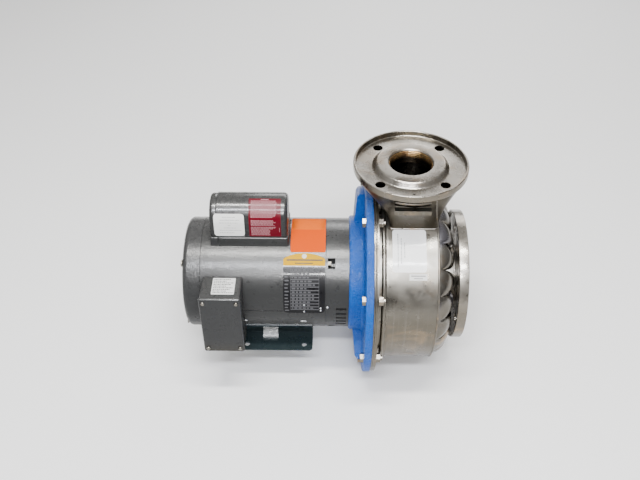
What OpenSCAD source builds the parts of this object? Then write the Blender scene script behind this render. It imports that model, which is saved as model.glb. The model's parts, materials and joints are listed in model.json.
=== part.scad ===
// Close-coupled end-suction centrifugal pump with a foot-mounted capacitor motor.
// Millimetres. X runs along the shaft towards the suction, Z is up, Y points to the rear.
// The origin is the centre of the four foot holes on the underside of the feet.

/* [Base] */
// Height of the shaft axis above the feet
shaft_height = 114.3; // [100:0.1:140]
// Distance between foot holes along the shaft
foot_pitch_x = 114.3; // [90:0.1:140]
// Distance between foot holes across the shaft
foot_pitch_y = 190.5; // [160:0.1:220]
// Diameter of the foot holes
foot_hole_d = 10.4; // [8:0.1:14]
// Thickness of the base sheet
base_t = 3.5; // [2:0.1:5]
// Length of the base along the shaft
base_len = 148; // [130:1:170]
// Width of the base over both feet
base_width = 218; // [200:1:250]

/* [Motor] */
// Outside diameter of the motor frame
motor_d = 217; // [200:0.5:230]
// Wall of the motor frame
frame_wall = 4; // [2:0.5:8]
// Distance from the foot-hole centre to the rear end of the frame tube
frame_back = 137; // [120:1:160]
// Distance from the foot-hole centre to the drive end of the frame tube
frame_front = 100.5; // [90:0.5:120]
// Depth of the rear end bell
bell_depth = 34; // [24:1:40]
// Depth of the drive-end bracket
bracket_depth = 43.5; // [36:0.5:52]
// Corner radius of the rear end bell
bell_round = 10; // [6:1:24]
// Half-length of the lamination stack
stack_half = 50; // [35:1:60]
// Radius of the rotor bore in the stator
gap_r = 58.5; // [50:0.5:64]
// Number of stator slots
slots = 24; // [18:1:36]
// Turn of the tie-bolt pattern above the front horizontal
tie_turn = 51; // [30:1:60]

/* [Shaft] */
// Diameter of the pump end of the shaft
shaft_d = 22.22; // [19:0.01:28]
// Diameter of the drive-end bearing bore
drive_bore = 30; // [25:1:35]
// Outside diameter of the drive-end bearing
drive_od = 62; // [52:1:72]
// Diameter of the rear bearing bore
rear_bore = 17; // [15:1:20]
// Outside diameter of the rear bearing
rear_od = 40; // [35:1:47]

/* [Terminal box] */
// Width of the terminal box along the shaft
box_w = 75; // [60:1:90]
// Height of the terminal box
box_h = 138; // [110:1:160]
// Distance from the shaft axis to the box cover
box_reach = 150; // [140:1:165]
// Middle of the box along the shaft
box_mid = -93.5; // [-110:0.5:-70]
// Height of the bottom of the box
box_low = 42; // [30:1:60]

/* [Capacitor cover] */
// Length of the capacitor cover
cap_len = 145; // [120:1:170]
// Width of the capacitor cover
cap_w = 76; // [60:1:90]
// Top of the capacitor cover above the feet
cap_top = 302; // [280:1:320]
// Rear end of the capacitor cover
cap_back = -117; // [-130:1:-100]

/* [Pump] */
// Outside diameter of the casing drum
drum_d = 330; // [300:1:350]
// Outside diameter of the bolted casing flanges
rim_d = 393; // [360:1:410]
// Length of the drum
drum_len = 91; // [70:1:110]
// Wall of the pressed casing
casing_wall = 3; // [2:0.5:5]
// Number of casing bolts
casing_bolts_n = 8; // [6:1:12]
// Turn of the casing-bolt pattern above the front horizontal
casing_turn = 27; // [0:1:45]
// Bolt circle of the casing bolts
casing_pcd = 368; // [340:1:380]
// Impeller diameter
impeller_d = 200; // [160:1:215]
// Number of impeller vanes
vanes = 6; // [4:1:8]
// Number of pressed lobes on the suction cover
lobes = 20; // [8:1:24]
// Height of the pressed lobes over the end of the drum
lobe_depth = 32; // [10:0.5:34]

/* [Connections] */
// Outside diameter of the discharge flange
out_d = 206; // [190:1:220]
// Height of the discharge flange rim above the feet
out_top = 384; // [360:1:400]
// Bore of the discharge
out_bore = 78; // [70:0.5:90]
// Bolt circle of the discharge flange
out_pcd = 160; // [140:0.1:170]
// Width of the neck shroud across the drum
neck_w = 104; // [90:1:130]
// Reach of the neck shroud to the front under the discharge flange
neck_top_r = 88.6; // [84:0.1:95]
// Reach of the neck shroud to the sides under the discharge flange
neck_side_r = 97; // [84:0.5:99]
// Outside diameter of the suction flange
in_d = 254; // [230:1:270]
// Bore of the suction
in_bore = 102; // [90:1:110]
// Bolt circle of the suction flange
in_pcd = 190.5; // [180:0.1:216]
// Diameter of the flange bolt holes
flange_hole_d = 18; // [16:0.5:23]

/* [Hidden] */
mr = motor_d / 2;
fi = mr - frame_wall;
xb = -frame_back;
xbe = xb - bell_depth;
xf = frame_front;
xa = xf + bracket_depth;
xfl = xa + 28;
xj = xfl + 14;
xd0 = xj + 28;
xd1 = xd0 + drum_len;
xs0 = xd1 + 41;
xs1 = xs0 + 19;
dr = drum_d / 2;
rr = rim_d / 2;
sr = shaft_d / 2;
out_x = (xd0 + xd1) / 2 - 9;
cap_r = cap_w / 2;
cap_y = 2.5;
lip_top = 234;
cap_z = cap_top - cap_r;
box_x0 = box_mid - box_w / 2;
tie_r = 98.5;
$fn = 96;

// Moves children so that their Z axis becomes the shaft axis.
module on_axis() {
  translate([0, 0, shaft_height])
    rotate([0, 90, 0])
      children();
}

// Solid cylinder along the shaft.
module xcyl(x0, x1, r) {
  on_axis()
    translate([0, 0, x0])
      cylinder(h = x1 - x0, r = r);
}

// Tube along the shaft.
module xring(x0, x1, ro, ri) {
  difference() {
    xcyl(x0, x1, ro);
    xcyl(x0 - 1, x1 + 1, ri);
  }
}

// Places children at an angle above the front horizontal, at a radius from the shaft.
module at(a, r) {
  translate([0, -r * cos(a), shaft_height + r * sin(a)])
    children();
}

// Turns children about the shaft: angle zero looks to the front.
module turn(a) {
  translate([0, 0, shaft_height])
    rotate([-a, 0, 0])
      children();
}

// Prism of a wedge that keeps the angles a0 to a1.
module wedge(x0, x1, a0, a1, r) {
  am = (a0 + a1) / 2;
  translate([x0, 0, shaft_height])
    rotate([90, 0, 90])
      linear_extrude(height = x1 - x0)
        polygon([[0, 0], [-r * cos(a0), r * sin(a0)], [-1.3 * r * cos(am), 1.3 * r * sin(am)], [-r * cos(a1), r * sin(a1)]]);
}

// Curved sheet that hugs a cylinder on the shaft axis.
module patch(x0, x1, a0, a1, ri, t) {
  intersection() {
    xring(x0, x1, ri + t, ri);
    wedge(x0, x1, a0, a1, ri * 1.6);
  }
}

// Hexagon along the shaft, width measured across the flats.
module xhex(x0, x1, af) {
  translate([x0, 0, 0])
    rotate([0, 90, 0])
      cylinder(h = x1 - x0, r = af / sqrt(3), $fn = 6);
}

// Plain rod along the shaft direction.
module xrod(x0, x1, r) {
  translate([x0, 0, 0])
    rotate([0, 90, 0])
      cylinder(h = x1 - x0, r = r, $fn = 32);
}

// Closed skin through rings of points; the last ring joins the first.
module loop_skin(rings) {
  n = len(rings);
  m = len(rings[0]);
  pts = [for (ring = rings) for (p = ring) p];
  fa = [for (i = [0:n - 1]) for (j = [0:m - 1]) [i * m + j, i * m + (j + 1) % m, ((i + 1) % n) * m + (j + 1) % m]];
  fb = [for (i = [0:n - 1]) for (j = [0:m - 1]) [i * m + j, ((i + 1) % n) * m + (j + 1) % m, ((i + 1) % n) * m + j]];
  polyhedron(points = pts, faces = concat(fa, fb), convexity = 6);
}

// ---------- motor ----------

module motor_base() {
  fy = base_width / 2;
  color([0.12, 0.17, 0.2])
    difference() {
      union() {
        for (s = [-1, 1]) {
          translate([0, s * (fy + 50) / 2, 0])
            linear_extrude(height = base_t)
              offset(r = 8)
                square([base_len - 16, fy - 66], center = true);
          translate([-11, 0, 0])
            rotate([90, 0, 90])
              linear_extrude(height = 30, center = true)
                polygon([[s * 59, 1], [s * 86, 1], [s * 86, 4.5], [s * 76, 8], [s * 67, 20], [s * 61, 24], [s * 59, 24]]);
          translate([-base_len / 2, s > 0 ? 58 : -58 - base_t, 0])
            cube([base_len, base_t, 26]);
        }
        patch(-base_len / 2, base_len / 2, -150, -30, mr + 0.05, 2.8);
      }
      for (x = [-1, 1])
        for (y = [-1, 1])
          translate([x * foot_pitch_x / 2, y * foot_pitch_y / 2, -1])
            cylinder(h = base_t + 2, d = foot_hole_d);
      xcyl(-base_len, base_len, mr + 0.05);
    }
}

module motor_frame() {
  color([0.3, 0.31, 0.33])
    difference() {
      xring(xb, xf, mr, fi);
      translate([box_mid, 0, shaft_height + 8])
        rotate([90, 0, 0])
          cylinder(h = mr + 5, r = 13);
      translate([-45, -5, shaft_height])
        cylinder(h = mr + 5, r = 9);
    }
}

module fan_end_bracket() {
  color([0.33, 0.34, 0.36])
    difference() {
      union() {
        on_axis()
          rotate_extrude()
            difference() {
              union() {
                translate([0, xbe + bell_round])
                  square([mr, bell_depth - bell_round]);
                translate([0, xbe])
                  square([mr - bell_round, bell_round + 1]);
                translate([mr - bell_round, xbe + bell_round])
                  circle(r = bell_round);
              }
              translate([0, xbe + 5])
                square([mr - 11, bell_depth]);
              translate([0, xb - 5])
                square([fi - 5.1, 30]);
              translate([-2 * mr, xbe - 10])
                square([2 * mr, 100]);
            }
        xring(xb - 6, xb + 6, fi - 0.1, fi - 5);
        xring(xbe + 4, xbe + 21, rear_od / 2 + 8, rear_od / 2 + 0.02);
      }
      for (k = [0:8])
        turn(-10 - 20 * k)
          translate([xbe - 2, -84, -4])
            cube([9, 36, 8]);
      for (k = [0:3])
        at(tie_turn + 90 * k, tie_r)
          xrod(xbe - 1, xb + 8, 3.3);
    }
}

module drive_end_bracket() {
  color([0.3, 0.31, 0.33])
    difference() {
      union() {
        xring(xf - 6, xf + 3, fi - 0.1, fi - 14);
        xring(xf, xa, mr, mr - 6);
        xring(xa - 8, xa, mr, 17);
        xring(xa - 8, xa + 4, 57.1, 17);
        xring(xf, xf + 3, mr, fi - 14);
        xring(xa - 32, xa - 7, drive_od / 2 + 9, drive_od / 2 + 0.05);
        intersection() {
          xring(xf, xf + 20, mr, mr - 24);
          for (k = [0:3])
            at(tie_turn + 90 * k, tie_r + 3)
              xrod(xf, xf + 20, 14.5);
        }
      }
      for (k = [0:3])
        at(tie_turn + 90 * k, tie_r)
          xrod(xf - 8, xf + 5, 3.3);
      for (k = [0:3])
        at(tie_turn + 90 * k, tie_r + 5)
          xrod(xf + 3, xf + 17, 11);
      for (k = [0:3])
        at(tie_turn + 90 * k, tie_r)
          xrod(xf + 3, xf + 17, 7.3);
      for (k = [0:3])
        at(45 + 90 * k, 74.6)
          xrod(xa - 12, xa + 2, 4.9);
      for (s = [0, 1])
        for (k = [0:4])
          turn(s * 180 + (s > 0 ? 1 : -1) * (6.8 * k - 1.5))
            translate([xf + 19, -mr - 5, -3])
              cube([20, 16, 6]);
    }
}

module tie_bolts() {
  color([0.62, 0.6, 0.55])
    for (k = [0:3])
      at(tie_turn + 90 * k, tie_r) {
        xrod(xbe - 3, xf + 4, 3.2);
        xhex(xf + 3.02, xf + 9, 12);
        xhex(xbe - 2.5, xbe - 0.02, 12);
      }
}

module stator_core() {
  color([0.36, 0.36, 0.38])
    on_axis()
      translate([0, 0, -stack_half])
        linear_extrude(height = 2 * stack_half)
          difference() {
            circle(r = fi - 0.1);
            circle(r = gap_r);
            for (k = [0:slots - 1])
              rotate(k * 360 / slots) {
                translate([gap_r + 3, -4])
                  square([22, 8]);
                translate([gap_r - 2, -1.2])
                  square([8, 2.4]);
              }
            for (k = [0:3])
              rotate(180 - tie_turn - 90 * k + 90)
                translate([0, tie_r])
                  circle(r = 4.5, $fn = 32);
          }
}

module windings() {
  color([0.62, 0.3, 0.12])
    union() {
      on_axis()
        for (k = [0:slots - 1])
          rotate(k * 360 / slots)
            translate([gap_r + 4, -3, -stack_half - 12])
              cube([20, 6, 2 * stack_half + 24]);
      for (s = [-1, 1])
        on_axis()
          translate([0, 0, s * (stack_half + 14)])
            rotate_extrude()
              translate([gap_r + 14, 0])
                union() {
                  square([20, 12], center = true);
                  translate([0, s * 6])
                    circle(r = 10, $fn = 32);
                }
    }
}

module rotor_core() {
  color([0.55, 0.56, 0.58])
    union() {
      xring(-stack_half - 2, stack_half + 2, gap_r - 0.5, 19.05);
      for (s = [-1, 1]) {
        xring(s > 0 ? stack_half + 1 : -stack_half - 10, s > 0 ? stack_half + 10 : -stack_half - 1, gap_r - 3, 38);
        for (k = [0:7])
          turn(22.5 + 45 * k)
            translate([s > 0 ? stack_half + 8 : -stack_half - 20, -gap_r + 6, -2])
              cube([12, 12, 4]);
      }
    }
}

module motor_shaft() {
  color([0.75, 0.75, 0.76])
    difference() {
      on_axis()
        rotate_extrude()
          polygon([[0, xbe + 6], [7.5, xbe + 6], [8.49, xbe + 7], [8.49, xbe + 21], [14, xbe + 21], [14, -60], [19, -60],
            [19, 60], [18, 60], [18, xa - 26], [14.99, xa - 26], [14.99, xa - 8], [sr, xa - 8], [sr, xd0 + 32],
            [5.9, xd0 + 32], [5.9, xd0 + 50], [5, xd0 + 51], [0, xd0 + 51]]);
      translate([xd0 + 9, -2.4, shaft_height + sr - 2.4])
        cube([22, 4.8, 8]);
    }
}

module shaft_key() {
  color([0.6, 0.6, 0.62])
    translate([xd0 + 9.2, -2.35, shaft_height + sr - 2.35])
      cube([21, 4.7, 4.7]);
}

// Outer ring of a deep-groove bearing.
module race_out(x0, w, od, bore, rb) {
  pr = (od + bore) / 4;
  on_axis()
    rotate_extrude()
      difference() {
        translate([pr + rb * 0.55, x0])
          square([od / 2 - pr - rb * 0.55, w]);
        translate([pr, x0 + w / 2])
          circle(r = rb + 0.05);
      }
}

// Inner ring of a deep-groove bearing.
module race_in(x0, w, od, bore, rb) {
  pr = (od + bore) / 4;
  on_axis()
    rotate_extrude()
      difference() {
        translate([bore / 2, x0])
          square([pr - rb * 0.55 - bore / 2, w]);
        translate([pr, x0 + w / 2])
          circle(r = rb + 0.05);
      }
}

// Balls held in a thin cage.
module ball_set(x0, w, od, bore, rb, n) {
  pr = (od + bore) / 4;
  xring(x0 + w / 2 - rb * 0.45, x0 + w / 2 + rb * 0.45, pr + 1, pr - 1);
  for (k = [0:n - 1])
    turn(k * 360 / n)
      translate([x0 + w / 2, -pr, 0])
        sphere(r = rb, $fn = 48);
}

module drive_bearing_outer() {
  color([0.7, 0.71, 0.72])
    race_out(xa - 26, 16, drive_od, drive_bore, 4.8);
}

module drive_bearing_inner() {
  color([0.7, 0.71, 0.72])
    race_in(xa - 26, 16, drive_od, drive_bore, 4.8);
}

module drive_bearing_balls() {
  color([0.75, 0.7, 0.5])
    ball_set(xa - 26, 16, drive_od, drive_bore, 4.8, 9);
}

module rear_bearing_outer() {
  color([0.7, 0.71, 0.72])
    race_out(xbe + 8, 12, rear_od, rear_bore, 3.4);
}

module rear_bearing_inner() {
  color([0.7, 0.71, 0.72])
    race_in(xbe + 8, 12, rear_od, rear_bore, 3.4);
}

module rear_bearing_balls() {
  color([0.75, 0.7, 0.5])
    ball_set(xbe + 8, 12, rear_od, rear_bore, 3.4, 8);
}

module cooling_fan() {
  color([0.13, 0.13, 0.14])
    union() {
      xring(xb + 36, xb + 52, 24, 14.02);
      xring(xb + 36, xb + 39, 60, 20);
      for (k = [0:8])
        turn(k * 40)
          translate([xb + 36, -90, -1.2])
            cube([15, 68, 2.4]);
    }
}

module governor_hub() {
  color([0.7, 0.68, 0.6])
    union() {
      xring(xb + 20, xb + 30, 22, 14.02);
      for (k = [0:1])
        turn(k * 180)
          translate([xb + 20, -40, -8])
            cube([9, 22, 16]);
    }
}

module governor_collar() {
  color([0.15, 0.15, 0.16])
    union() {
      xring(xb + 3, xb + 13, 20, 14.06);
      xring(xb + 3, xb + 5.5, 33, 18);
    }
}

module start_switch() {
  color([0.45, 0.25, 0.12])
    union() {
      difference() {
        xring(xb - 5, xb - 2, 68, 36);
        translate([xb - 10, -80, shaft_height - 100])
          cube([20, 160, 78]);
      }
      for (a = [30, 90, 150])
        at(a, 56)
          xrod(xbe + 5.02, xb - 3, 4);
      at(90, 32)
        translate([xb - 4, -5, -4])
          cube([5.5, 10, 16]);
    }
}

module slinger() {
  color([0.08, 0.08, 0.08])
    xring(xa + 5, xa + 9, 24, sr + 0.05);
}

// ---------- capacitor cover ----------

// Outline of the capacitor cover across the shaft, grown by g.
module cap_outline(g) {
  translate([cap_y, cap_z])
    circle(r = cap_r + g);
  translate([cap_y - cap_r - g, shaft_height + 60])
    square([cap_w + 2 * g, cap_z - shaft_height - 60]);
}

// Flared foot of the cover, standing g proud of its walls.
module cap_foot(x0, x1, g) {
  translate([x0, cap_y - cap_r - g, shaft_height + 60])
    cube([x1 - x0, cap_w + 2 * g, lip_top - shaft_height - 60]);
}

// The outline drawn along the shaft.
module cap_block(x0, x1, g) {
  translate([x0, 0, 0])
    rotate([90, 0, 90])
      linear_extrude(height = x1 - x0)
        cap_outline(g);
}

module capacitor_cover() {
  color([0.3, 0.31, 0.33])
    difference() {
      union() {
        cap_block(cap_back + 14, cap_back + cap_len, 0);
        cap_foot(cap_back + 14, cap_back + cap_len + 1, 3);
      }
      cap_block(cap_back + 5, cap_back + cap_len - 1.5, -1.5);
      xcyl(cap_back - 5, cap_back + cap_len + 10, mr + 0.05);
    }
}

module capacitor_end_cap() {
  color([0.32, 0.33, 0.35])
    difference() {
      union() {
        translate([0, 0, -2])
          cap_block(cap_back, cap_back + 13.95, 0);
        cap_foot(cap_back + 1, cap_back + 13.95, 3);
      }
      translate([0, 0, -2])
        cap_block(cap_back + 1.5, cap_back + 20, -1.5);
      xcyl(cap_back - 5, cap_back + 40, mr + 0.05);
      for (y = [-1, 1])
        translate([0, cap_y + y * 24, 240])
          xrod(cap_back - 5, cap_back + 5, 2.2);
    }
}

module capacitor_screws() {
  color([0.75, 0.75, 0.75])
    for (y = [-1, 1])
      translate([cap_back - 2.02, cap_y + y * 24, 240])
        rotate([0, 90, 0]) {
          cylinder(h = 2, d1 = 5, d2 = 8, $fn = 24);
          cylinder(h = 7, d = 4, $fn = 24);
        }
}

module start_capacitor() {
  color([0.1, 0.1, 0.11])
    translate([-96, -12.5, 242])
      rotate([0, 90, 0])
        cylinder(h = 86, r = 18.5);
}

module run_capacitor() {
  color([0.6, 0.61, 0.62])
    translate([-90, 22.5, 240])
      rotate([0, 90, 0])
        cylinder(h = 70, r = 15);
}

// ---------- terminal box ----------

module terminal_box() {
  color([0.3, 0.31, 0.33])
    difference() {
      translate([box_x0, -box_reach + 1.5, box_low])
        cube([box_w, box_reach - 80, box_h]);
      translate([box_x0 + 2, -box_reach - 1, box_low + 2])
        cube([box_w - 4, box_reach - 60, box_h - 4]);
      xcyl(box_x0 - 5, box_x0 + box_w + 5, mr + 0.05);
      patch(-base_len / 2 - 0.1, box_x0 + box_w + 5, -150.1, -29.9, mr - 2, 4.9);
      translate([box_mid, -122, box_low - 1])
        cylinder(h = 5, r = 14);
    }
}

module terminal_cover() {
  color([0.32, 0.33, 0.35])
    difference() {
      translate([box_x0 - 1.4, -box_reach, box_low - 1.4])
        cube([box_w + 2.8, 9, box_h + 2.8]);
      translate([box_x0 - 0.1, -box_reach + 1.5, box_low - 0.1])
        cube([box_w + 0.2, 12, box_h + 0.2]);
    }
}

module terminal_screws() {
  color([0.7, 0.7, 0.68])
    for (x = [-1, 1])
      for (z = [-1, 1])
        translate([box_mid + x * (box_w / 2 - 7), -box_reach, box_low + box_h / 2 + z * (box_h / 2 - 9)])
          rotate([90, 0, 0])
            cylinder(h = 2.2, d1 = 8, d2 = 6, $fn = 24);
}

module knockout_plug() {
  color([0.28, 0.29, 0.31])
    translate([box_mid, -122, box_low])
      cylinder(h = 3, r = 13.95);
}

// ---------- plates and labels ----------

module nameplate() {
  color([0.9, 0.75, 0.1])
    patch(20, 98.5, -3.5, 61, mr + 0.05, 0.6);
}

module nameplate_rivets() {
  color([0.8, 0.8, 0.8])
    for (x = [23.5, 95])
      for (a = [-1, 58.5])
        translate([x, 0, shaft_height])
          rotate([90 - a, 0, 0])
            translate([0, 0, mr + 0.65])
              cylinder(h = 1, r = 1.6, $fn = 24);
}

// Label that starts on the flat front of the capacitor cover and bends over its round top.
module cap_patch(x0, x1, z0, a1) {
  intersection() {
    difference() {
      cap_block(x0, x1, 0.35);
      cap_block(x0 - 1, x1 + 1, 0.04);
    }
    union() {
      translate([x0, cap_y - cap_r - 2, z0])
        cube([x1 - x0, 20, cap_z - z0]);
      translate([x0, cap_y, cap_z])
        rotate([90, 0, 90])
          linear_extrude(height = x1 - x0)
            polygon([[0, 0], [-60, -0.01], [-60, 60 * tan(a1 / 2)], [-60 * cos(a1), 60 * sin(a1)]]);
    }
  }
}

module caution_label() {
  color([0.55, 0.08, 0.15])
    cap_patch(-43.5, 16, 236, 80);
}

module wiring_label() {
  color([0.92, 0.92, 0.9])
    cap_patch(-108, -52, 236.5, 34);
}

module rotation_sticker() {
  color([1, 0.45, 0.12])
    patch(33, 99, 62, 116, mr + 0.05, 0.35);
}

module box_label() {
  color([0.9, 0.9, 0.88])
    translate([-110, -134, box_low + box_h])
      cube([42, 43, 0.3]);
}

// ---------- pump ----------

module adapter() {
  color([0.12, 0.42, 0.8])
    difference() {
      union() {
        on_axis()
          rotate_extrude()
            polygon([[57.2, xa + 0.05], [111, xa + 0.05], [113.5, xa + 2.5], [113.5, xfl - 4], [117.5, xfl], [rr - 1.5, xfl],
              [rr, xfl + 1.5], [rr, xj - 0.05], [95, xj - 0.05], [95, xa + 12], [57.2, xa + 12]]);
        difference() {
          on_axis()
            rotate_extrude()
              polygon([[112, xa + 9], [120, xa + 10], [166, xa + 14], [172, xa + 18], [172, xfl + 1], [112, xfl + 1]]);
          wedge(xa - 1, xfl, -42, 102, 600);
        }
      }
      for (k = [0:3])
        at(45 + 90 * k, 74.6)
          xrod(xa - 5, xa + 20, 5.2);
      for (k = [0:casing_bolts_n - 1])
        at(casing_turn + k * 360 / casing_bolts_n, casing_pcd / 2)
          xrod(xfl - 20, xj + 5, 5.5);
      turn(-90)
        translate([xa + 13, -135, -22])
          cube([9, 60, 44]);
    }
}

module adapter_screws() {
  color([0.6, 0.6, 0.62])
    for (k = [0:3])
      at(45 + 90 * k, 74.6) {
        xrod(xa - 8, xa + 13, 4.75);
        xhex(xa + 12.05, xa + 19, 14.3);
      }
}

module back_cover() {
  color([0.75, 0.75, 0.74])
    difference() {
      union() {
        xring(xj, xj + 3, rr - 1, 20);
        xring(xj - 12, xj + 4, 30, 17.05);
      }
      xcyl(xj - 13, xj + 5, 17.05);
      for (k = [0:casing_bolts_n - 1])
        at(casing_turn + k * 360 / casing_bolts_n, casing_pcd / 2)
          xrod(xj - 5, xj + 5, 5.5);
    }
}

module seal_seat() {
  color([0.9, 0.9, 0.88])
    xring(xj - 6, xj + 4, 17, 12.5);
}

module seal_rotary() {
  color([0.12, 0.12, 0.13])
    union() {
      xring(xj + 4.02, xj + 9, 16.5, sr + 0.05);
      xring(xj + 9, xj + 18, 19, sr + 0.05);
    }
}

// Points around the wire of a coil spring at turn angle a.
function wire_ring(a, x, rc, rw) =
  [for (j = [0:7]) let (b = j * 45) [x + rw * sin(b), -(rc + rw * cos(b)) * cos(a), shaft_height + (rc + rw * cos(b)) * sin(a)]];

module seal_spring() {
  n = 64;
  m = 8;
  rings = [for (i = [0:n]) wire_ring(i * 22.5, xj + 19.5 + 13.5 * i / n, 15, 1.3)];
  pts = [for (ring = rings) for (p = ring) p];
  fa = [for (i = [0:n - 1]) for (j = [0:m - 1]) [i * m + j, (i + 1) * m + j, (i + 1) * m + (j + 1) % m]];
  fb = [for (i = [0:n - 1]) for (j = [0:m - 1]) [i * m + j, (i + 1) * m + (j + 1) % m, i * m + (j + 1) % m]];
  color([0.78, 0.78, 0.8])
    polyhedron(points = pts, faces = concat(fa, fb, [[for (j = [0:m - 1]) j]], [[for (j = [m - 1:-1:0]) n * m + j]]));
}

// Outline of one impeller vane: thickness t, from radius r0 to r1 over a sweep in degrees.
function spiral(r0, r1, sweep, t, n) =
  concat([for (i = [0:n]) let (r = r0 + (r1 - r0) * i / n) r * [cos(sweep * i / n), sin(sweep * i / n)]],
    [for (i = [n:-1:0]) let (r = r0 + (r1 - r0) * i / n, a = sweep * i / n + t / r * 57.3) r * [cos(a), sin(a)]]);

module impeller() {
  ir = impeller_d / 2;
  color([0.78, 0.78, 0.77])
    difference() {
      union() {
        xring(xd0 + 8, xd0 + 12, ir, sr + 0.05);
        xring(xd0 + 8, xd0 + 31, 21, sr + 0.05);
        on_axis()
          rotate_extrude()
            polygon([[in_bore / 2 - 6, xd0 + 52], [in_bore / 2 - 6, xd0 + 38], [in_bore / 2 + 2, xd0 + 33], [ir, xd0 + 24],
              [ir, xd0 + 27], [in_bore / 2 + 3, xd0 + 36.5], [in_bore / 2 - 2, xd0 + 40], [in_bore / 2 - 2, xd0 + 52]]);
        intersection() {
          on_axis()
            for (k = [0:vanes - 1])
              rotate(k * 360 / vanes)
                translate([0, 0, xd0 + 11])
                  linear_extrude(height = 26)
                    polygon(spiral(38, ir - 0.5, -75, 4, 8));
          on_axis()
            rotate_extrude()
              polygon([[20, xd0 + 11], [ir - 0.4, xd0 + 11], [ir - 0.4, xd0 + 25], [in_bore / 2 + 2, xd0 + 34], [20, xd0 + 37]]);
        }
      }
      translate([xd0, -2.5, shaft_height])
        cube([34, 5, sr + 2.7]);
    }
}

module impeller_nut() {
  color([0.75, 0.75, 0.74])
    translate([0, 0, shaft_height])
      difference() {
        union() {
          xhex(xd0 + 36, xd0 + 46, 19);
          xrod(xd0 + 32.05, xd0 + 36, 14);
        }
        xrod(xd0 + 30, xd0 + 60, 5.95);
      }
}

module wear_ring() {
  color([0.7, 0.6, 0.35])
    xring(xd0 + 42, xd0 + 50, in_bore / 2 + 3, in_bore / 2 - 1.6);
}

module diffuser() {
  ir = impeller_d / 2;
  color([0.72, 0.72, 0.71])
    union() {
      xring(xd0 + 42, xd0 + 45, dr - casing_wall - 0.1, in_bore / 2 + 3.05);
      on_axis()
        for (k = [0:6])
          rotate(k * 360 / 7 + 10)
            translate([0, 0, xd0 + 6])
              linear_extrude(height = 37)
                polygon(spiral(ir + 5, ir + 48, -42, 3, 5));
    }
}

module casing_drum() {
  color([0.74, 0.73, 0.71])
    difference() {
      union() {
        xring(xj + 3.05, xj + 6, rr - 1, dr - casing_wall);
        xring(xj + 3.05, xd1, dr, dr - casing_wall);
        xring(xd1 - 4, xd1, dr, dr - 7);
      }
      translate([out_x, 0, shaft_height])
        cylinder(h = dr + 10, d = out_bore);
      for (k = [0:casing_bolts_n - 1])
        at(casing_turn + k * 360 / casing_bolts_n, casing_pcd / 2)
          xrod(xj, xj + 10, 5.5);
      turn(-90)
        translate([xd0 + 20, -dr + 10, 0])
          rotate([90, 0, 0])
            cylinder(h = 20, r = 5.2, $fn = 32);
    }
}

module casing_rim() {
  color([0.77, 0.76, 0.74])
    difference() {
      on_axis()
        rotate_extrude()
          union() {
            translate([dr + 0.05, xj + 6.05])
              square([5, 20]);
            translate([dr + 0.05, xd0 - 8])
              square([4.5, 8]);
            translate([dr + 5, xd0 - 9])
              circle(r = 4.5, $fn = 32);
            translate([dr + 0.05, xj + 6.05])
              square([rr - dr - 1.5, 3]);
          }
      translate([out_x, 0, shaft_height])
        cylinder(h = rr + 5, r = out_bore / 2 + 4.6);
      for (k = [0:casing_bolts_n - 1])
        at(casing_turn + k * 360 / casing_bolts_n, casing_pcd / 2)
          xrod(xj, xj + 15, 5.5);
    }
}

module casing_o_ring() {
  color([0.06, 0.06, 0.06])
    xring(xj + 3.02, xj + 6, dr - casing_wall - 0.05, dr - casing_wall - 3);
}

module casing_bolts() {
  color([0.8, 0.8, 0.79])
    for (k = [0:casing_bolts_n - 1])
      at(casing_turn + k * 360 / casing_bolts_n, casing_pcd / 2) {
        xrod(xfl - 1, xj + 21, 5);
        xhex(xfl - 6.5, xfl - 0.02, 16);
      }
}

module casing_nuts() {
  color([0.8, 0.8, 0.79])
    for (k = [0:casing_bolts_n - 1])
      at(casing_turn + k * 360 / casing_bolts_n, casing_pcd / 2)
        difference() {
          xhex(xj + 9.1, xj + 17.5, 16);
          xrod(xj + 8, xj + 19, 5.05);
        }
}

// Round pulse that is one on a lobe and drops to zero in the crease between lobes.
function pulse(a) = let (n = a * lobes / 360, f = 2 * abs(n - round(n)))
  pow(1 - pow(min(1, f), 2.6), 0.45);

// Height of the cover over the end of the drum at fraction u: crest of a lobe and floor between lobes.
function lobe_crest(u) =
  u < 0.4 ? lobe_depth * sqrt(1 - pow(1 - u / 0.4, 2)) : lobe_depth - (lobe_depth - 25) * (u - 0.4) / 0.6;
function lobe_floor(u) = u < 0.12 ? 9 * sqrt(1 - pow(1 - u / 0.12, 2)) : 9 + 16 * (u - 0.12) / 0.88;

// One ring of the suction cover at fraction u from the drum to the nozzle, set inwards by t.
function cover_ring(u, t) = let (
  e = pow(1 - u, 4),
  r = dr - 5 - (dr - in_bore / 2 - 9) * u - t * e,
  lo = lobe_floor(u),
  hi = lobe_crest(u))
  [for (j = [0:159]) let (a = j * 2.25, h = lo + (hi - lo) * pulse(a) - t * (1 - e))
    [xd1 + 0.05 + max(0, h), -r * cos(a), shaft_height + r * sin(a)]];

module suction_cover() {
  n = 10;
  color([0.72, 0.7, 0.67])
    loop_skin(concat([for (i = [0:n]) cover_ring(pow(i / n, 1.5), 0)], [for (i = [n:-1:0]) cover_ring(pow(i / n, 1.5), 3)]));
}

module suction_nozzle() {
  color([0.75, 0.74, 0.72])
    xring(xd0 + 50.1, xs1, in_bore / 2 + 3.5, in_bore / 2);
}

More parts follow.
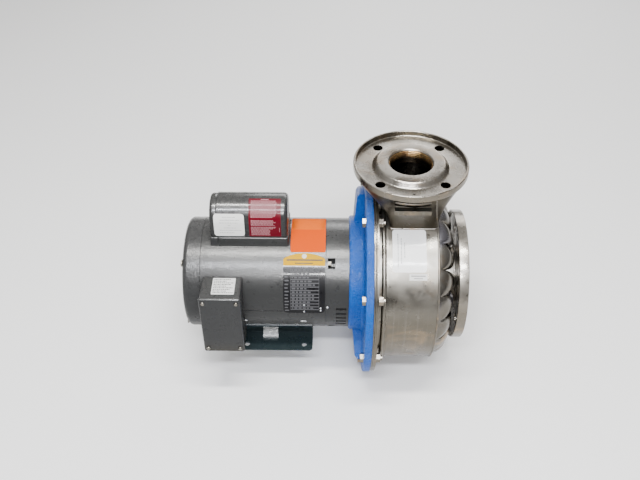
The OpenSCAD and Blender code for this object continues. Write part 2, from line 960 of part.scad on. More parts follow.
module suction_flange() {
  fr = in_d / 2;
  color([0.76, 0.75, 0.73])
    difference() {
      on_axis()
        rotate_extrude()
          union() {
            translate([in_bore / 2 + 3.55, xs1 - 13])
              square([fr - in_bore / 2 - 4.6, 4]);
            translate([fr - 4, xs0 + 2])
              square([4, xs1 - xs0 - 4]);
            translate([fr - 2, xs1 - 2])
              circle(r = 2, $fn = 24);
            translate([fr - 2, xs0 + 2])
              circle(r = 2, $fn = 24);
            translate([in_bore / 2 + 3.55, xs1 - 13])
              square([78.5 - in_bore / 2 - 3.55, 13]);
          }
      for (k = [0:7])
        at(22.5 + 45 * k, in_pcd / 2)
          xrod(xs1 - 20, xs1 + 5, flange_hole_d / 2);
    }
}

// One ring of the neck shroud at fraction u from the drum to the flange, drawn in by t.
function neck_ring(u, t) =
  [for (j = [0:63]) let (
    a = j * 5.625 + 0.01,
    box = min((drum_len / 2 - 1 - t) / abs(cos(a)), (neck_w / 2 - t) / abs(sin(a))),
    off = out_x - (xd0 + xd1) / 2,
    round = off * cos(a) + sqrt(pow(out_bore / 2 + 7.3 - t, 2) - pow(off * sin(a), 2)),
    sq = max(box, round),
    bx = sq * cos(a),
    by = sq * sin(a),
    bz = shaft_height + sqrt(pow(dr + 0.2, 2) - by * by),
    w = u * u * (3 - 2 * u),
    mx = (xd0 + xd1) / 2)
    [(mx + bx) * (1 - w) + (out_x + (neck_side_r - t) * cos(a)) * w,
      by * (1 - w) + (neck_top_r - t) * sin(a) * w,
      bz + (out_top - 13.1 - bz) * u]];

module discharge_neck() {
  n = 6;
  color([0.73, 0.71, 0.68])
    difference() {
      loop_skin(concat([for (i = [0:n]) neck_ring(i / n, 0)], [for (i = [n:-1:0]) neck_ring(i / n, 2.5)]));
      translate([out_x - 31, -110, out_top - 37])
        cube([62, 70, 13]);
      xcyl(xj - 5, xd0 - 1.9, dr + 9.6);
      xcyl(xj - 5, xd0 + 0.1, dr + 4.7);
      xcyl(xj + 1, xj + 9.2, rr - 1.2);
    }
}

module discharge_flange() {
  fr = out_d / 2;
  color([0.77, 0.76, 0.74])
    difference() {
      translate([out_x, 0, 0])
        rotate_extrude()
          union() {
            translate([out_bore / 2, out_top - 13])
              square([fr - out_bore / 2 - 2, 4]);
            translate([fr - 4, out_top - 11])
              square([4, 9]);
            translate([fr - 2, out_top - 2])
              circle(r = 2, $fn = 24);
            translate([fr - 2, out_top - 11])
              circle(r = 2, $fn = 24);
            translate([out_bore / 2, shaft_height + 100])
              square([4.5, out_top - shaft_height - 110]);
            translate([out_bore / 2, out_top - 13])
              square([63.5 - out_bore / 2, 13]);
          }
      xcyl(xd0 - 50, xd1 + 50, dr + 0.1);
      for (k = [0:3])
        translate([out_x, 0, out_top - 20])
          rotate([0, 0, 45 + 90 * k])
            translate([out_pcd / 2, 0, 0])
              cylinder(h = 30, d = flange_hole_d, $fn = 48);
    }
}

module neck_bracket() {
  color([0.6, 0.59, 0.57])
    union() {
      translate([out_x - 32, -94, out_top - 41])
        cube([64, 11.4, 2.5]);
      translate([out_x - 32, -94, out_top - 47])
        cube([64, 2.5, 8]);
    }
}

module drain_plug() {
  color([0.7, 0.68, 0.6])
    translate([xd0 + 20, 0, shaft_height - dr - 6]) {
      cylinder(h = 12, r = 5.1, $fn = 32);
      cylinder(h = 5.8, r = 8.5, $fn = 6);
    }
}

module casing_label() {
  color([0.82, 0.82, 0.82])
    patch(220.5, 281.5, 43, 71, dr + 0.05, 0.4);
}

module casing_tag() {
  color([0.9, 0.9, 0.9])
    patch(250.5, 282.5, 38, 42, dr + 0.05, 0.3);
}

motor_base();
motor_frame();
fan_end_bracket();
drive_end_bracket();
tie_bolts();
stator_core();
windings();
rotor_core();
motor_shaft();
shaft_key();
drive_bearing_outer();
drive_bearing_inner();
drive_bearing_balls();
rear_bearing_outer();
rear_bearing_inner();
rear_bearing_balls();
cooling_fan();
governor_hub();
governor_collar();
start_switch();
slinger();
capacitor_cover();
capacitor_end_cap();
capacitor_screws();
start_capacitor();
run_capacitor();
terminal_box();
terminal_cover();
terminal_screws();
knockout_plug();
nameplate();
nameplate_rivets();
caution_label();
wiring_label();
rotation_sticker();
box_label();
adapter();
adapter_screws();
back_cover();
seal_seat();
seal_rotary();
seal_spring();
impeller();
impeller_nut();
wear_ring();
diffuser();
casing_drum();
casing_rim();
casing_o_ring();
casing_bolts();
casing_nuts();
suction_cover();
suction_nozzle();
suction_flange();
discharge_neck();
discharge_flange();
neck_bracket();
drain_plug();
casing_label();
casing_tag();
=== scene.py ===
import json
import math
import bpy
import bmesh
from mathutils import Matrix, Vector


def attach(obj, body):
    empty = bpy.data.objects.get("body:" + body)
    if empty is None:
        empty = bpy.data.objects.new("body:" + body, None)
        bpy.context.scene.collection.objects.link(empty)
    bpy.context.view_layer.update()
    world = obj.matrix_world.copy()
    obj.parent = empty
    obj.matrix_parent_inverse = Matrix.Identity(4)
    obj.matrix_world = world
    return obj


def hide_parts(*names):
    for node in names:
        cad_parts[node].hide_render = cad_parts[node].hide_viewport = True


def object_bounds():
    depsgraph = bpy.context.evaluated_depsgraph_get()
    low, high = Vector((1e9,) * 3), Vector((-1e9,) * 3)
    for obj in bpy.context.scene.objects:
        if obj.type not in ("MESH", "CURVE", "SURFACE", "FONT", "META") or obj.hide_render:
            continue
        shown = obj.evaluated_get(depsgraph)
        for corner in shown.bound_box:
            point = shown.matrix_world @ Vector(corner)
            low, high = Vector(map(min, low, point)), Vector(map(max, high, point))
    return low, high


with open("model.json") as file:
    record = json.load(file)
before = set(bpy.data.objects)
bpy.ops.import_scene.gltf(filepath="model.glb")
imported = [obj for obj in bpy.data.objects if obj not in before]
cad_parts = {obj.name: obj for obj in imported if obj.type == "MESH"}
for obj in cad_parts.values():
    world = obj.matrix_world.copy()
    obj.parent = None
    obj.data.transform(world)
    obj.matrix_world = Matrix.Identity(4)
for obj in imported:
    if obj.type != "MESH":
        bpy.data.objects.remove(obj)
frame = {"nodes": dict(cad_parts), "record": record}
cad_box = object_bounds()
NODES = frame["nodes"]
SLOT_OF = {s["node"]: s["material_slot"] for s in frame["record"]["subparts"]}

# Main sizes, in metres, in the CAD's frame.
AXIS_Z = 0.1143
MOTOR_R = 0.1085
DRUM_R = 0.165
OUT_X = 0.2505
OUT_TOP = 0.384
XD0 = 0.214
XD1 = 0.305
XS0 = 0.346
XS1 = 0.365
CAP_Y = 0.0025
CAP_Z = 0.264
LIP_Z = 0.234
CAP_R = 0.038
HOUSING = "housing"
LIFT = 0.00005          # between a label and the surface under it
LABEL_T = 0.00035       # thickness of the larger labels
FACET_TURN = 160        # facets of a full turn on the large round cuts


# ---------------------------------------------------------------- materials

class Shader:
    """A material under construction, with short calls for its nodes."""

    def __init__(self, name, base, metallic=0.0, rough=0.4, coat=0.0, coat_rough=0.08, ior=1.5):
        self.mat = bpy.data.materials.new(name)
        self.mat.use_nodes = True
        self.nt = self.mat.node_tree
        self.bsdf = self.nt.nodes["Principled BSDF"]
        self.bsdf.inputs["Metallic"].default_value = metallic
        self.bsdf.inputs["Coat Weight"].default_value = coat
        self.bsdf.inputs["Coat Roughness"].default_value = coat_rough
        self.bsdf.inputs["IOR"].default_value = ior
        self.base = tuple(base) + (1.0,)
        self.mat.diffuse_color = self.base
        self.bsdf.inputs["Base Color"].default_value = self.base
        self.bsdf.inputs["Roughness"].default_value = rough
        self.coord = self.node("ShaderNodeTexCoord").outputs["Object"]
        self.color = None
        self.normal = None

    def node(self, kind, **props):
        n = self.nt.nodes.new(kind)
        for k, v in props.items():
            setattr(n, k, v)
        return n

    def link(self, a, b):
        self.nt.links.new(a, b)

    def stretched(self, stretch):
        m = self.node("ShaderNodeMapping")
        m.inputs["Scale"].default_value = stretch
        self.link(self.coord, m.inputs["Vector"])
        return m.outputs["Vector"]

    def noise(self, scale, detail=3.0, stretch=(1, 1, 1), roughness=0.5, distortion=0.0):
        n = self.node("ShaderNodeTexNoise")
        n.inputs["Scale"].default_value = scale
        n.inputs["Detail"].default_value = detail
        n.inputs["Roughness"].default_value = roughness
        n.inputs["Distortion"].default_value = distortion
        self.link(self.stretched(stretch), n.inputs["Vector"])
        return n.outputs["Fac"]

    def remap(self, value, lo, hi, out_lo=0.0, out_hi=1.0):
        n = self.node("ShaderNodeMapRange")
        n.interpolation_type = "SMOOTHSTEP"
        n.inputs["From Min"].default_value = lo
        n.inputs["From Max"].default_value = hi
        n.inputs["To Min"].default_value = out_lo
        n.inputs["To Max"].default_value = out_hi
        self.link(value, n.inputs["Value"])
        return n.outputs["Result"]

    def math(self, op, a, b):
        n = self.node("ShaderNodeMath", operation=op)
        for i, v in enumerate((a, b)):
            if isinstance(v, (int, float)):
                n.inputs[i].default_value = v
            else:
                self.link(v, n.inputs[i])
        return n.outputs[0]

    def axis(self, index):
        n = self.node("ShaderNodeSeparateXYZ")
        self.link(self.coord, n.inputs[0])
        return n.outputs[index]

    def normal_axis(self, index):
        g = self.node("ShaderNodeNewGeometry")
        n = self.node("ShaderNodeSeparateXYZ")
        self.link(g.outputs["Normal"], n.inputs[0])
        return n.outputs[index]

    def mix(self, fac, colour):
        """Lays a colour over what is there, as far as fac says."""
        n = self.node("ShaderNodeMix", data_type="RGBA")
        if self.color is None:
            n.inputs[6].default_value = self.base
        else:
            self.link(self.color, n.inputs[6])
        n.inputs[7].default_value = tuple(colour) + (1.0,)
        self.link(fac, n.inputs[0])
        self.color = n.outputs[2]
        self.link(self.color, self.bsdf.inputs["Base Color"])
        return self

    def bump(self, height, strength, distance):
        n = self.node("ShaderNodeBump")
        n.inputs["Strength"].default_value = strength
        n.inputs["Distance"].default_value = distance
        self.link(height, n.inputs["Height"])
        if self.normal is not None:
            self.link(self.normal, n.inputs["Normal"])
        self.normal = n.outputs["Normal"]
        self.link(self.normal, self.bsdf.inputs["Normal"])
        self.link(self.normal, self.bsdf.inputs["Coat Normal"])
        return self

    def paint_shade_by_facing(self, spec_lo, spec_hi, coat_lo, coat_hi):
        """Painted shade: takes specular and coat off faces that don't look up, so they look darker."""
        for lo, hi, target in ((spec_lo, spec_hi, "Specular IOR Level"), (coat_lo, coat_hi, "Coat Weight")):
            self.link(self.remap(self.normal_axis(2), 0.3, 0.6, lo, hi), self.bsdf.inputs[target])
        return self

    def rough_by(self, value, lo, hi):
        self.link(self.remap(value, 0.3, 0.7, lo, hi), self.bsdf.inputs["Roughness"])
        return self


def enamel(name, base, peel=0.35, dust=0.10, rough=0.3):
    """Sprayed machine enamel: orange peel, slow tone changes and dust that lies on what faces up, with a painted
    reflection tint towards the bottom and painted shade on faces that don't look up.
    """
    s = Shader(name, base, rough=rough, coat=0.4, coat_rough=0.10)
    s.mix(s.remap(s.noise(6, 4), 0.35, 0.7, 0, 0.5), [c * 0.82 for c in base])
    s.mix(s.remap(s.noise(300, 4), 0.55, 0.8, 0, 0.3), [min(1, c * 1.3) for c in base])
    # Painted reflection: a lighter, warmer olive tint towards the bottom.
    s.mix(s.remap(s.axis(2), 0.075, 0.03, 0, 0.55), (base[0] * 1.5, base[1] * 1.3, base[2] * 0.9))
    up = s.remap(s.normal_axis(2), 0.6, 1.0, 0, dust)
    s.mix(s.math("MULTIPLY", up, s.remap(s.noise(240, 6), 0.35, 0.65)), (0.16, 0.155, 0.145))
    # Painted shade: gloss taken off faces that don't look up.
    s.paint_shade_by_facing(0.10, 0.6, 0.0, 0.5)
    s.rough_by(s.noise(90, 4), rough - 0.04, rough + 0.10)
    s.bump(s.noise(520, 2), peel, 0.0007)
    s.bump(s.noise(170, 3), peel * 0.7, 0.0009)
    return s.mat


def casting(name, base):
    """Thick paint over a sand casting: coarse grain under gloss."""
    s = Shader(name, base, rough=0.34, coat=0.35, coat_rough=0.04)
    s.mix(s.remap(s.noise(12, 4), 0.4, 0.75, 0, 0.6), [base[0] * 0.5, base[1] * 0.7, base[2] * 0.8])
    pale = [min(1, base[0] + 0.01), min(1, base[1] * 1.2), min(1, base[2] * 1.1)]
    s.mix(s.remap(s.noise(260, 3), 0.6, 0.75, 0, 0.3), pale)
    # Painted shade: gloss taken off faces that don't look up.
    s.paint_shade_by_facing(0.10, 0.35, 0.0, 0.4)
    s.rough_by(s.noise(45, 4), 0.24, 0.4)
    s.bump(s.noise(240, 4, roughness=0.65), 1.0, 0.0036)
    s.bump(s.noise(110, 3), 0.4, 0.0018)
    return s.mat


def sheet_steel(name, base, brush=(1, 1, 1), rough=0.3, tint=0.5, brush_strength=0.12, tint_scale=11,
                painted_shade=0.0, drum=False, lavender_reflection=0.0):
    """Pickled stainless sheet: fine drawn lines, clouded grey, straw and brown heat tint; painted shade on faces
    that don't look up, and where asked a painted lavender reflection, painted shade and reflection low on the
    drum, and a painted shade cover.
    """
    s = Shader(name, base, metallic=1.0, rough=rough)
    s.mix(s.remap(s.noise(14, 5, roughness=0.6), 0.35, 0.75, 0, 0.5), [c * 0.74 for c in base])
    # Painted shade: faces that don't look up are darkened.
    painted_side_shade = (base[0] * 0.27, base[1] * 0.25, base[2] * 0.215)
    s.mix(s.remap(s.normal_axis(2), 0.72, 0.1, 0, 0.9), painted_side_shade)
    # Painted reflection: lavender patches.
    if lavender_reflection:
        s.mix(s.remap(s.noise(13, 2), 0.48, 0.62, 0, lavender_reflection), (0.27, 0.27, 0.35))
    if drum:
        # Painted shade: the drum darkens to grey-brown towards the bottom.
        s.mix(s.remap(s.axis(2), 0.17, 0.05, 0, 0.85), (0.115, 0.10, 0.078))
        # Painted reflection: a lavender tint at the very bottom.
        s.mix(s.remap(s.axis(2), 0.035, 0.0, 0, 0.5), (0.22, 0.21, 0.26))
        s.mix(s.remap(s.noise(1, 2, stretch=(140, 0.4, 0.4)), 0.5, 0.75, 0, 0.35), [c * 0.7 for c in base])
    cloud = s.remap(s.noise(tint_scale, 5, roughness=0.6, distortion=0.6), 0.52, 0.72, 0, tint)
    s.mix(cloud, (0.34, 0.235, 0.135))
    s.mix(s.remap(s.noise(tint_scale * 2.3, 4), 0.62, 0.78, 0, tint * 0.8), (0.15, 0.118, 0.08))
    # Painted shade: a dark brown cover over most of the sheet, patchy with noise.
    if painted_shade:
        cover = s.remap(s.noise(9, 4, distortion=0.5), 0.25, 0.6, painted_shade * 0.7, painted_shade)
        s.mix(cover, (0.045, 0.037, 0.024))
    s.mix(s.remap(s.noise(420, 2), 0.66, 0.8, 0, 0.2), (0.7, 0.69, 0.66))
    s.rough_by(s.noise(26, 6, roughness=0.65), rough - 0.08, rough + 0.14)
    s.bump(s.noise(600, 3, stretch=brush), brush_strength, 0.0003)
    s.bump(s.noise(45, 2), 0.12, 0.0008)
    return s.mat


def oxide_and_bore_shade():
    """Straw and brown oxide round the mouth of a bore, and painted shade: near black farther down."""
    s = Shader("oxide_and_bore_shade", (0.36, 0.23, 0.10), metallic=1.0, rough=0.26)
    s.mix(s.remap(s.noise(60, 4), 0.4, 0.7), (0.16, 0.09, 0.045))
    # Painted shade: near black farther down the bore.
    s.mix(s.remap(s.axis(2), 0.379, 0.366), (0.008, 0.006, 0.004))
    s.rough_by(s.noise(120, 4), 0.2, 0.4)
    s.bump(s.noise(300, 3), 0.2, 0.0004)
    return s.mat


def plain_metal(name, base, rough=0.28, metallic=1.0, grain=700, strength=0.1, stain=None):
    """Machined or plated metal with fine tool marks and a little staining."""
    s = Shader(name, base, metallic=metallic, rough=rough)
    s.mix(s.remap(s.noise(60, 4), 0.4, 0.75, 0, 0.7), stain or [c * 0.7 for c in base])
    s.rough_by(s.noise(150, 4), rough - 0.07, rough + 0.15)
    s.bump(s.noise(grain, 3), strength, 0.0003)
    return s.mat


def moulded(name, base, rough=0.5, grain=900, strength=0.15):
    """Moulded plastic or rubber with a fine matt grain."""
    s = Shader(name, base, rough=rough)
    s.mix(s.remap(s.noise(40, 4), 0.4, 0.75, 0, 0.6), [min(1, c * 1.5 + 0.01) for c in base])
    s.rough_by(s.noise(90, 3), rough - 0.08, rough + 0.12)
    s.bump(s.noise(grain, 2), strength, 0.0003)
    return s.mat


def foil(name, base, rough=0.4, wear=0.2, coat=0.0, spec=0.3):
    """Printed foil: flat colour with slight fading, scuffs and small ripples."""
    s = Shader(name, base, rough=rough, coat=coat)
    # Painted shade: gloss taken off faces that don't look up, so the lower plate looks black.
    s.paint_shade_by_facing(spec * 0.25, spec, 0.0, coat)
    s.mix(s.remap(s.noise(45, 5), 0.5, 0.8, 0, wear), [min(1, c * 0.8) for c in base])
    s.mix(s.remap(s.noise(500, 3), 0.66, 0.78, 0, wear), [c * 0.65 for c in base])
    s.rough_by(s.noise(60, 4), rough - 0.08, rough + 0.15)
    s.bump(s.noise(130, 2), 0.10, 0.0004)
    return s.mat


def wound_wire():
    """Varnished copper wire bundles."""
    s = Shader("copper_enamel", (0.36, 0.12, 0.04), rough=0.35, coat=0.6)
    s.mix(s.remap(s.noise(220, 3, stretch=(0.2, 1, 1)), 0.4, 0.7), (0.55, 0.22, 0.08))
    s.bump(s.noise(500, 2, stretch=(0.1, 1, 1)), 0.5, 0.0006)
    return s.mat


def laminated():
    """Stacked electrical sheets: thin lines square to the shaft."""
    s = Shader("lamination", (0.26, 0.26, 0.28), metallic=0.9, rough=0.45)
    s.mix(s.remap(s.noise(30, 4), 0.4, 0.75, 0, 0.6), (0.20, 0.14, 0.10))
    s.bump(s.noise(1200, 1, stretch=(1, 0.01, 0.01)), 0.4, 0.0004)
    return s.mat


GREY = (0.027, 0.0275, 0.0275)
STEEL = (0.30, 0.285, 0.255)
BRIGHT = (0.41, 0.385, 0.345)
M = {
    "motor_paint": enamel("motor_paint", GREY),
    "cover_paint": enamel("cover_paint", GREY, peel=0.08, rough=0.24),
    "bell_paint": enamel("bell_paint", (0.028, 0.0285, 0.029), peel=0.45),
    "base_paint": enamel("base_paint", (0.009, 0.0175, 0.0245), peel=0.3, dust=0.03),
    "adapter_paint": casting("adapter_paint", (0.003, 0.08, 0.38)),
    "stainless": sheet_steel("stainless", STEEL, brush=(9, 0.15, 0.15), tint=0.45, drum=True),
    "stainless_bright": sheet_steel("stainless_bright", BRIGHT, brush=(1, 1, 6), rough=0.24, tint_scale=14),
    "zinc_steel": plain_metal("zinc_steel", (0.19, 0.183, 0.165), stain=(0.10, 0.08, 0.055)),
    "steel": plain_metal("steel", (0.5, 0.5, 0.51), rough=0.24),
    "lamination": laminated(),
    "cast_aluminium": plain_metal("cast_aluminium", (0.56, 0.57, 0.58), rough=0.42, grain=260, strength=0.3),
    "bearing_steel": plain_metal("bearing_steel", (0.66, 0.66, 0.67), rough=0.14),
    "brass_cage": plain_metal("brass_cage", (0.66, 0.47, 0.2), rough=0.26),
    "copper_enamel": wound_wire(),
    "black_plastic": moulded("black_plastic", (0.02, 0.02, 0.022)),
    "switch_board": moulded("switch_board", (0.16, 0.07, 0.03), rough=0.42),
    "black_rubber": moulded("black_rubber", (0.015, 0.015, 0.015), rough=0.7),
    "capacitor_case": moulded("capacitor_case", (0.03, 0.03, 0.033), rough=0.3),
    "capacitor_can": plain_metal("capacitor_can", (0.58, 0.59, 0.6), rough=0.32),
    "seal_ceramic": moulded("seal_ceramic", (0.78, 0.76, 0.72), rough=0.25, strength=0.05),
    "bronze": plain_metal("bronze", (0.52, 0.36, 0.16), rough=0.3),
    "plate_yellow_black": foil("plate_yellow_black", (0.006, 0.006, 0.007), rough=0.28, coat=0.5),
    "label_red": foil("label_red", (0.10, 0.001, 0.008), coat=0.3),
    "label_white": foil("label_white", (0.72, 0.72, 0.7)),
    "label_orange": foil("label_orange", (0.60, 0.07, 0.0), rough=0.6, wear=0.1, spec=0.03),
    "label_silver": foil("label_silver", (0.95, 0.95, 0.95), rough=0.26, wear=0.06, coat=0.5),
    "print_yellow": foil("print_yellow", (0.56, 0.31, 0.0), rough=0.6, wear=0.08, spec=0.03),
    "print_grey": foil("print_grey", (0.26, 0.26, 0.27)),
    "print_plate": foil("print_plate", (0.085, 0.085, 0.09), spec=0.1),
    "print_dark": foil("print_dark", (0.03, 0.03, 0.032)),
    "print_pale": foil("print_pale", (0.62, 0.6, 0.58)),
    "print_pink": foil("print_pink", (0.40, 0.20, 0.22)),
    "print_light_orange": foil("print_light_orange", (0.66, 0.115, 0.006), rough=0.6, wear=0.1, spec=0.03),
    "weld": sheet_steel("weld", (0.32, 0.30, 0.27), rough=0.34, tint=0.8, tint_scale=40, brush_strength=0.25),
    # Neck shroud: its dark cover is painted shade from the flange above it.
    "painted_shade": sheet_steel("painted_shade", STEEL, brush=(0.15, 0.15, 9), rough=0.34, tint=0.6, tint_scale=16,
                           painted_shade=0.92),
    # Lobes: painted shade patches and painted lavender reflection patches.
    "stainless_lobes": sheet_steel("stainless_lobes", (0.34, 0.325, 0.30), rough=0.2, tint=0.75, tint_scale=20,
                                   painted_shade=0.25, lavender_reflection=0.6),
    "oxide_and_bore_shade": oxide_and_bore_shade(),
}

for name, node in NODES.items():
    mat = M[SLOT_OF[name]]
    if node.material_slots:
        for ms in node.material_slots:
            ms.material = mat
    else:
        node.data.materials.append(mat)


# ---------------------------------------------------------------- mesh helpers

def add_object(name, verts, faces, mat, slot=None, replaces=(), smooth=True, body=HOUSING):
    mesh = bpy.data.meshes.new(name)
    mesh.from_pydata([tuple(v) for v in verts], [], faces)
    mesh.validate()
    bm = bmesh.new()
    bm.from_mesh(mesh)
    bmesh.ops.remove_doubles(bm, verts=bm.verts, dist=1e-6)
    bmesh.ops.recalc_face_normals(bm, faces=bm.faces)
    bm.to_mesh(mesh)
    bm.free()
    for p in mesh.polygons:
        p.use_smooth = smooth
    obj = bpy.data.objects.new(name, mesh)
    bpy.context.scene.collection.objects.link(obj)
    mesh.materials.append(mat)
    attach(obj, body)
    if replaces:
        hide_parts(*replaces)
    return obj


def loft(rings, closed_ring=True, loop=False, caps=True):
    """Faces between successive rings of equal length."""
    verts = [p for ring in rings for p in ring]
    n, m = len(rings), len(rings[0])
    faces = []
    for i in range(n if loop else n - 1):
        for j in range(m if closed_ring else m - 1):
            a, b = i * m + j, i * m + (j + 1) % m
            i2 = (i + 1) % n
            faces.append((a, b, i2 * m + (j + 1) % m, i2 * m + j))
    if caps and closed_ring and not loop:
        faces.append(tuple(range(m - 1, -1, -1)))
        faces.append(tuple(range((n - 1) * m, n * m)))
    return verts, faces


def on_motor(x, angle, r):
    """Point at an angle above the front horizontal and a radius from the shaft."""
    a = math.radians(angle)
    return (x, -r * math.cos(a), AXIS_Z + r * math.sin(a))


def revolve_x(profile, steps=128):
    """Closed skin of a closed (x, r) profile turned about the shaft."""
    rings = [[on_motor(x, 360.0 * k / steps, r) for x, r in profile] for k in range(steps)]
    return loft(rings, closed_ring=True, loop=True)


def revolve_z(profile, cx, steps=128):
    """Closed skin of a closed (z, r) profile turned about an upright axis."""
    rings = []
    for k in range(steps):
        a = 2 * math.pi * k / steps
        rings.append([(cx + r * math.cos(a), r * math.sin(a), z) for z, r in profile])
    return loft(rings, closed_ring=True, loop=True)


def fillet(points, radii, steps=5):
    """Rounds the corners of a closed 2D outline; one radius per corner."""
    out = []
    n = len(points)
    for i in range(n):
        p = Vector(points[i])
        a = Vector(points[i - 1])
        b = Vector(points[(i + 1) % n])
        r = radii[i] if isinstance(radii, (list, tuple)) else radii
        u, v = (a - p), (b - p)
        lu, lv = u.length, v.length
        if r <= 0 or lu < 1e-9 or lv < 1e-9:
            out.append(tuple(p))
            continue
        u.normalize()
        v.normalize()
        ang = math.acos(max(-1, min(1, u.dot(v))))
        if ang > math.pi - 0.05:
            out.append(tuple(p))
            continue
        d = min(r / math.tan(ang / 2), lu * 0.49, lv * 0.49)
        rr = d * math.tan(ang / 2)
        c = p + (u + v).normalized() * (rr / math.sin(ang / 2))
        s, e = p + u * d - c, p + v * d - c
        sweep = math.atan2(s.x * e.y - s.y * e.x, s.dot(e))
        for k in range(steps + 1):
            t = sweep * k / steps
            ct, st = math.cos(t), math.sin(t)
            out.append((c.x + s.x * ct - s.y * st, c.y + s.x * st + s.y * ct))
    return out


def bevel_mod(obj, width, segments=3, angle=32):
    b = obj.modifiers.new("edge", "BEVEL")
    b.width = width
    b.segments = segments
    b.limit_method = "ANGLE"
    b.angle_limit = math.radians(angle)
    b.harden_normals = False
    b.use_clamp_overlap = True


def cut(obj, cutters):
    """Boolean difference that is applied to the mesh at once."""
    tools = []
    for verts, faces in cutters:
        mesh = bpy.data.meshes.new("cutter")
        mesh.from_pydata([tuple(v) for v in verts], [], faces)
        bm = bmesh.new()
        bm.from_mesh(mesh)
        bmesh.ops.recalc_face_normals(bm, faces=bm.faces)
        bm.to_mesh(mesh)
        bm.free()
        t = bpy.data.objects.new("cutter", mesh)
        bpy.context.scene.collection.objects.link(t)
        m = obj.modifiers.new("cut", "BOOLEAN")
        m.operation = "DIFFERENCE"
        m.solver = "EXACT"
        m.object = t
        tools.append(t)
    bpy.context.view_layer.update()
    dg = bpy.context.evaluated_depsgraph_get()
    mesh = bpy.data.meshes.new_from_object(obj.evaluated_get(dg))
    old = obj.data
    obj.modifiers.clear()
    obj.data = mesh
    mesh.name = old.name + "_cut"
    bpy.data.meshes.remove(old)
    for t in tools:
        d = t.data
        bpy.data.objects.remove(t)
        bpy.data.meshes.remove(d)


def soften(obj, angle=35):
    """Smooth shading that keeps edges sharper than the angle."""
    mesh = obj.data
    for p in mesh.polygons:
        p.use_smooth = True
    mesh.set_sharp_from_angle(angle=math.radians(angle))


def circle(centre, r, u, v, steps):
    """Points of a circle in the plane of the two unit vectors."""
    turns = [2 * math.pi * k / steps for k in range(steps)]
    return [tuple(centre + r * (math.cos(a) * u + math.sin(a) * v)) for a in turns]


def cylinder(p0, p1, r, steps=48):
    """Capped cylinder between two points, as vertices and faces."""
    p0, p1 = Vector(p0), Vector(p1)
    d = (p1 - p0).normalized()
    u = d.orthogonal().normalized()
    v = d.cross(u)
    return loft([circle(c, r, u, v, steps) for c in (p0, p1)])


def box(lo, hi):
    x0, y0, z0 = lo
    x1, y1, z1 = hi
    v = [(x, y, z) for x in (x0, x1) for y in (y0, y1) for z in (z0, z1)]
    f = [(0, 1, 3, 2), (4, 6, 7, 5), (0, 4, 5, 1), (2, 3, 7, 6), (0, 2, 6, 4), (1, 5, 7, 3)]
    return v, f


def join(parts):
    """Several (verts, faces) pairs as one."""
    verts, faces = [], []
    for v, f in parts:
        k = len(verts)
        verts += list(v)
        faces += [tuple(i + k for i in q) for q in f]
    return verts, faces


def add_joined(name, parts, mat, **options):
    """One piece made of many small closed parts."""
    v, f = join(parts)
    return add_object(name, v, f, mat, **options)


def add_print(name, parts, mat, slot):
    """Printed bars and dashes as one flat-shaded piece."""
    return add_joined(name, parts, mat, slot=slot, smooth=False)


# ---------------------------------------------------------------- CAD nodes that stay, with softened edges

def soften_node(name, width, segments=2, angle=34):
    """Rounds a CAD node's edges with modifiers; its own mesh stays as it is."""
    obj = NODES[name]
    w = obj.modifiers.new("weld", "WELD")
    w.merge_threshold = 0.00002
    bevel_mod(obj, width, segments, angle)
    n = obj.modifiers.new("normals", "WEIGHTED_NORMAL")
    n.keep_sharp = False
    n.weight = 60


EDGES = {
    "motor_frame": 0.0009, "fan_end_bracket": 0.0009, "drive_end_bracket": 0.0009, "motor_base": 0.0012,
    "casing_drum": 0.001, "casing_rim": 0.0006, "adapter": 0.0016, "back_cover": 0.0008,
    "neck_bracket": 0.0006, "casing_bolts": 0.0005, "casing_nuts": 0.0005, "tie_bolts": 0.0005,
    "nameplate_rivets": 0.0004, "terminal_screws": 0.0004, "capacitor_screws": 0.0004,
}
for name, width in EDGES.items():
    soften_node(name, width)


# ---------------------------------------------------------------- capacitor cover

def motor_top(y, r=MOTOR_R + 0.0003):
    """Height of the motor's surface at a distance from its middle."""
    return AXIS_Z + math.sqrt(max(0, r * r - y * y))


def cap_ring(x, g, drop=0.0):
    """Outline of the capacitor cover at x, grown by g, its top lowered by drop, closed along the motor."""
    half = CAP_R + g
    mid = CAP_Z - drop
    turns = [math.radians(a) for a in range(0, 181, 5)]
    pts = [(CAP_Y - half * math.cos(a), mid + half * math.sin(a)) for a in turns]
    y0, y1 = CAP_Y - half, CAP_Y + half
    z0, z1 = motor_top(y0), motor_top(y1)
    left = [(y0, z0 + (mid - z0) * t) for t in (0.25, 0.5, 0.75)]
    right = [(y1, mid + (z1 - mid) * t) for t in (0.25, 0.5, 0.75)]
    foot = [(y, motor_top(y)) for y in (y1 + (y0 - y1) * t / 10 for t in range(11))]
    return [(x, y, z) for y, z in left + pts + right + foot]


def rounded_end(x_end, radius, direction, drop=0.0, steps=7):
    """Outlines that round off an end of the cover."""
    out = []
    for k in range(steps + 1):
        t = math.radians(90 * k / steps)
        x = x_end - direction * radius * (1 - math.sin(t))
        out.append(cap_ring(x, -radius * (1 - math.cos(t)), drop))
    return out


v, f = loft([cap_ring(-0.1028, 0), cap_ring(-0.04, 0)] + rounded_end(0.028, 0.0075, 1))
cover = add_object("cover_shell", v, f, M["cover_paint"], replaces=("capacitor_cover",))
soften(cover, 40)

ends = [cap_ring(-0.1032, -0.0006, 0.002), cap_ring(-0.1038, 0, 0.002), cap_ring(-0.108, 0, 0.002)]
v, f = loft(ends + rounded_end(-0.117, 0.0055, -1, 0.002))
end_cap = add_object("cover_end", v, f, M["cover_paint"], replaces=("capacitor_end_cap",))
soften(end_cap, 50)


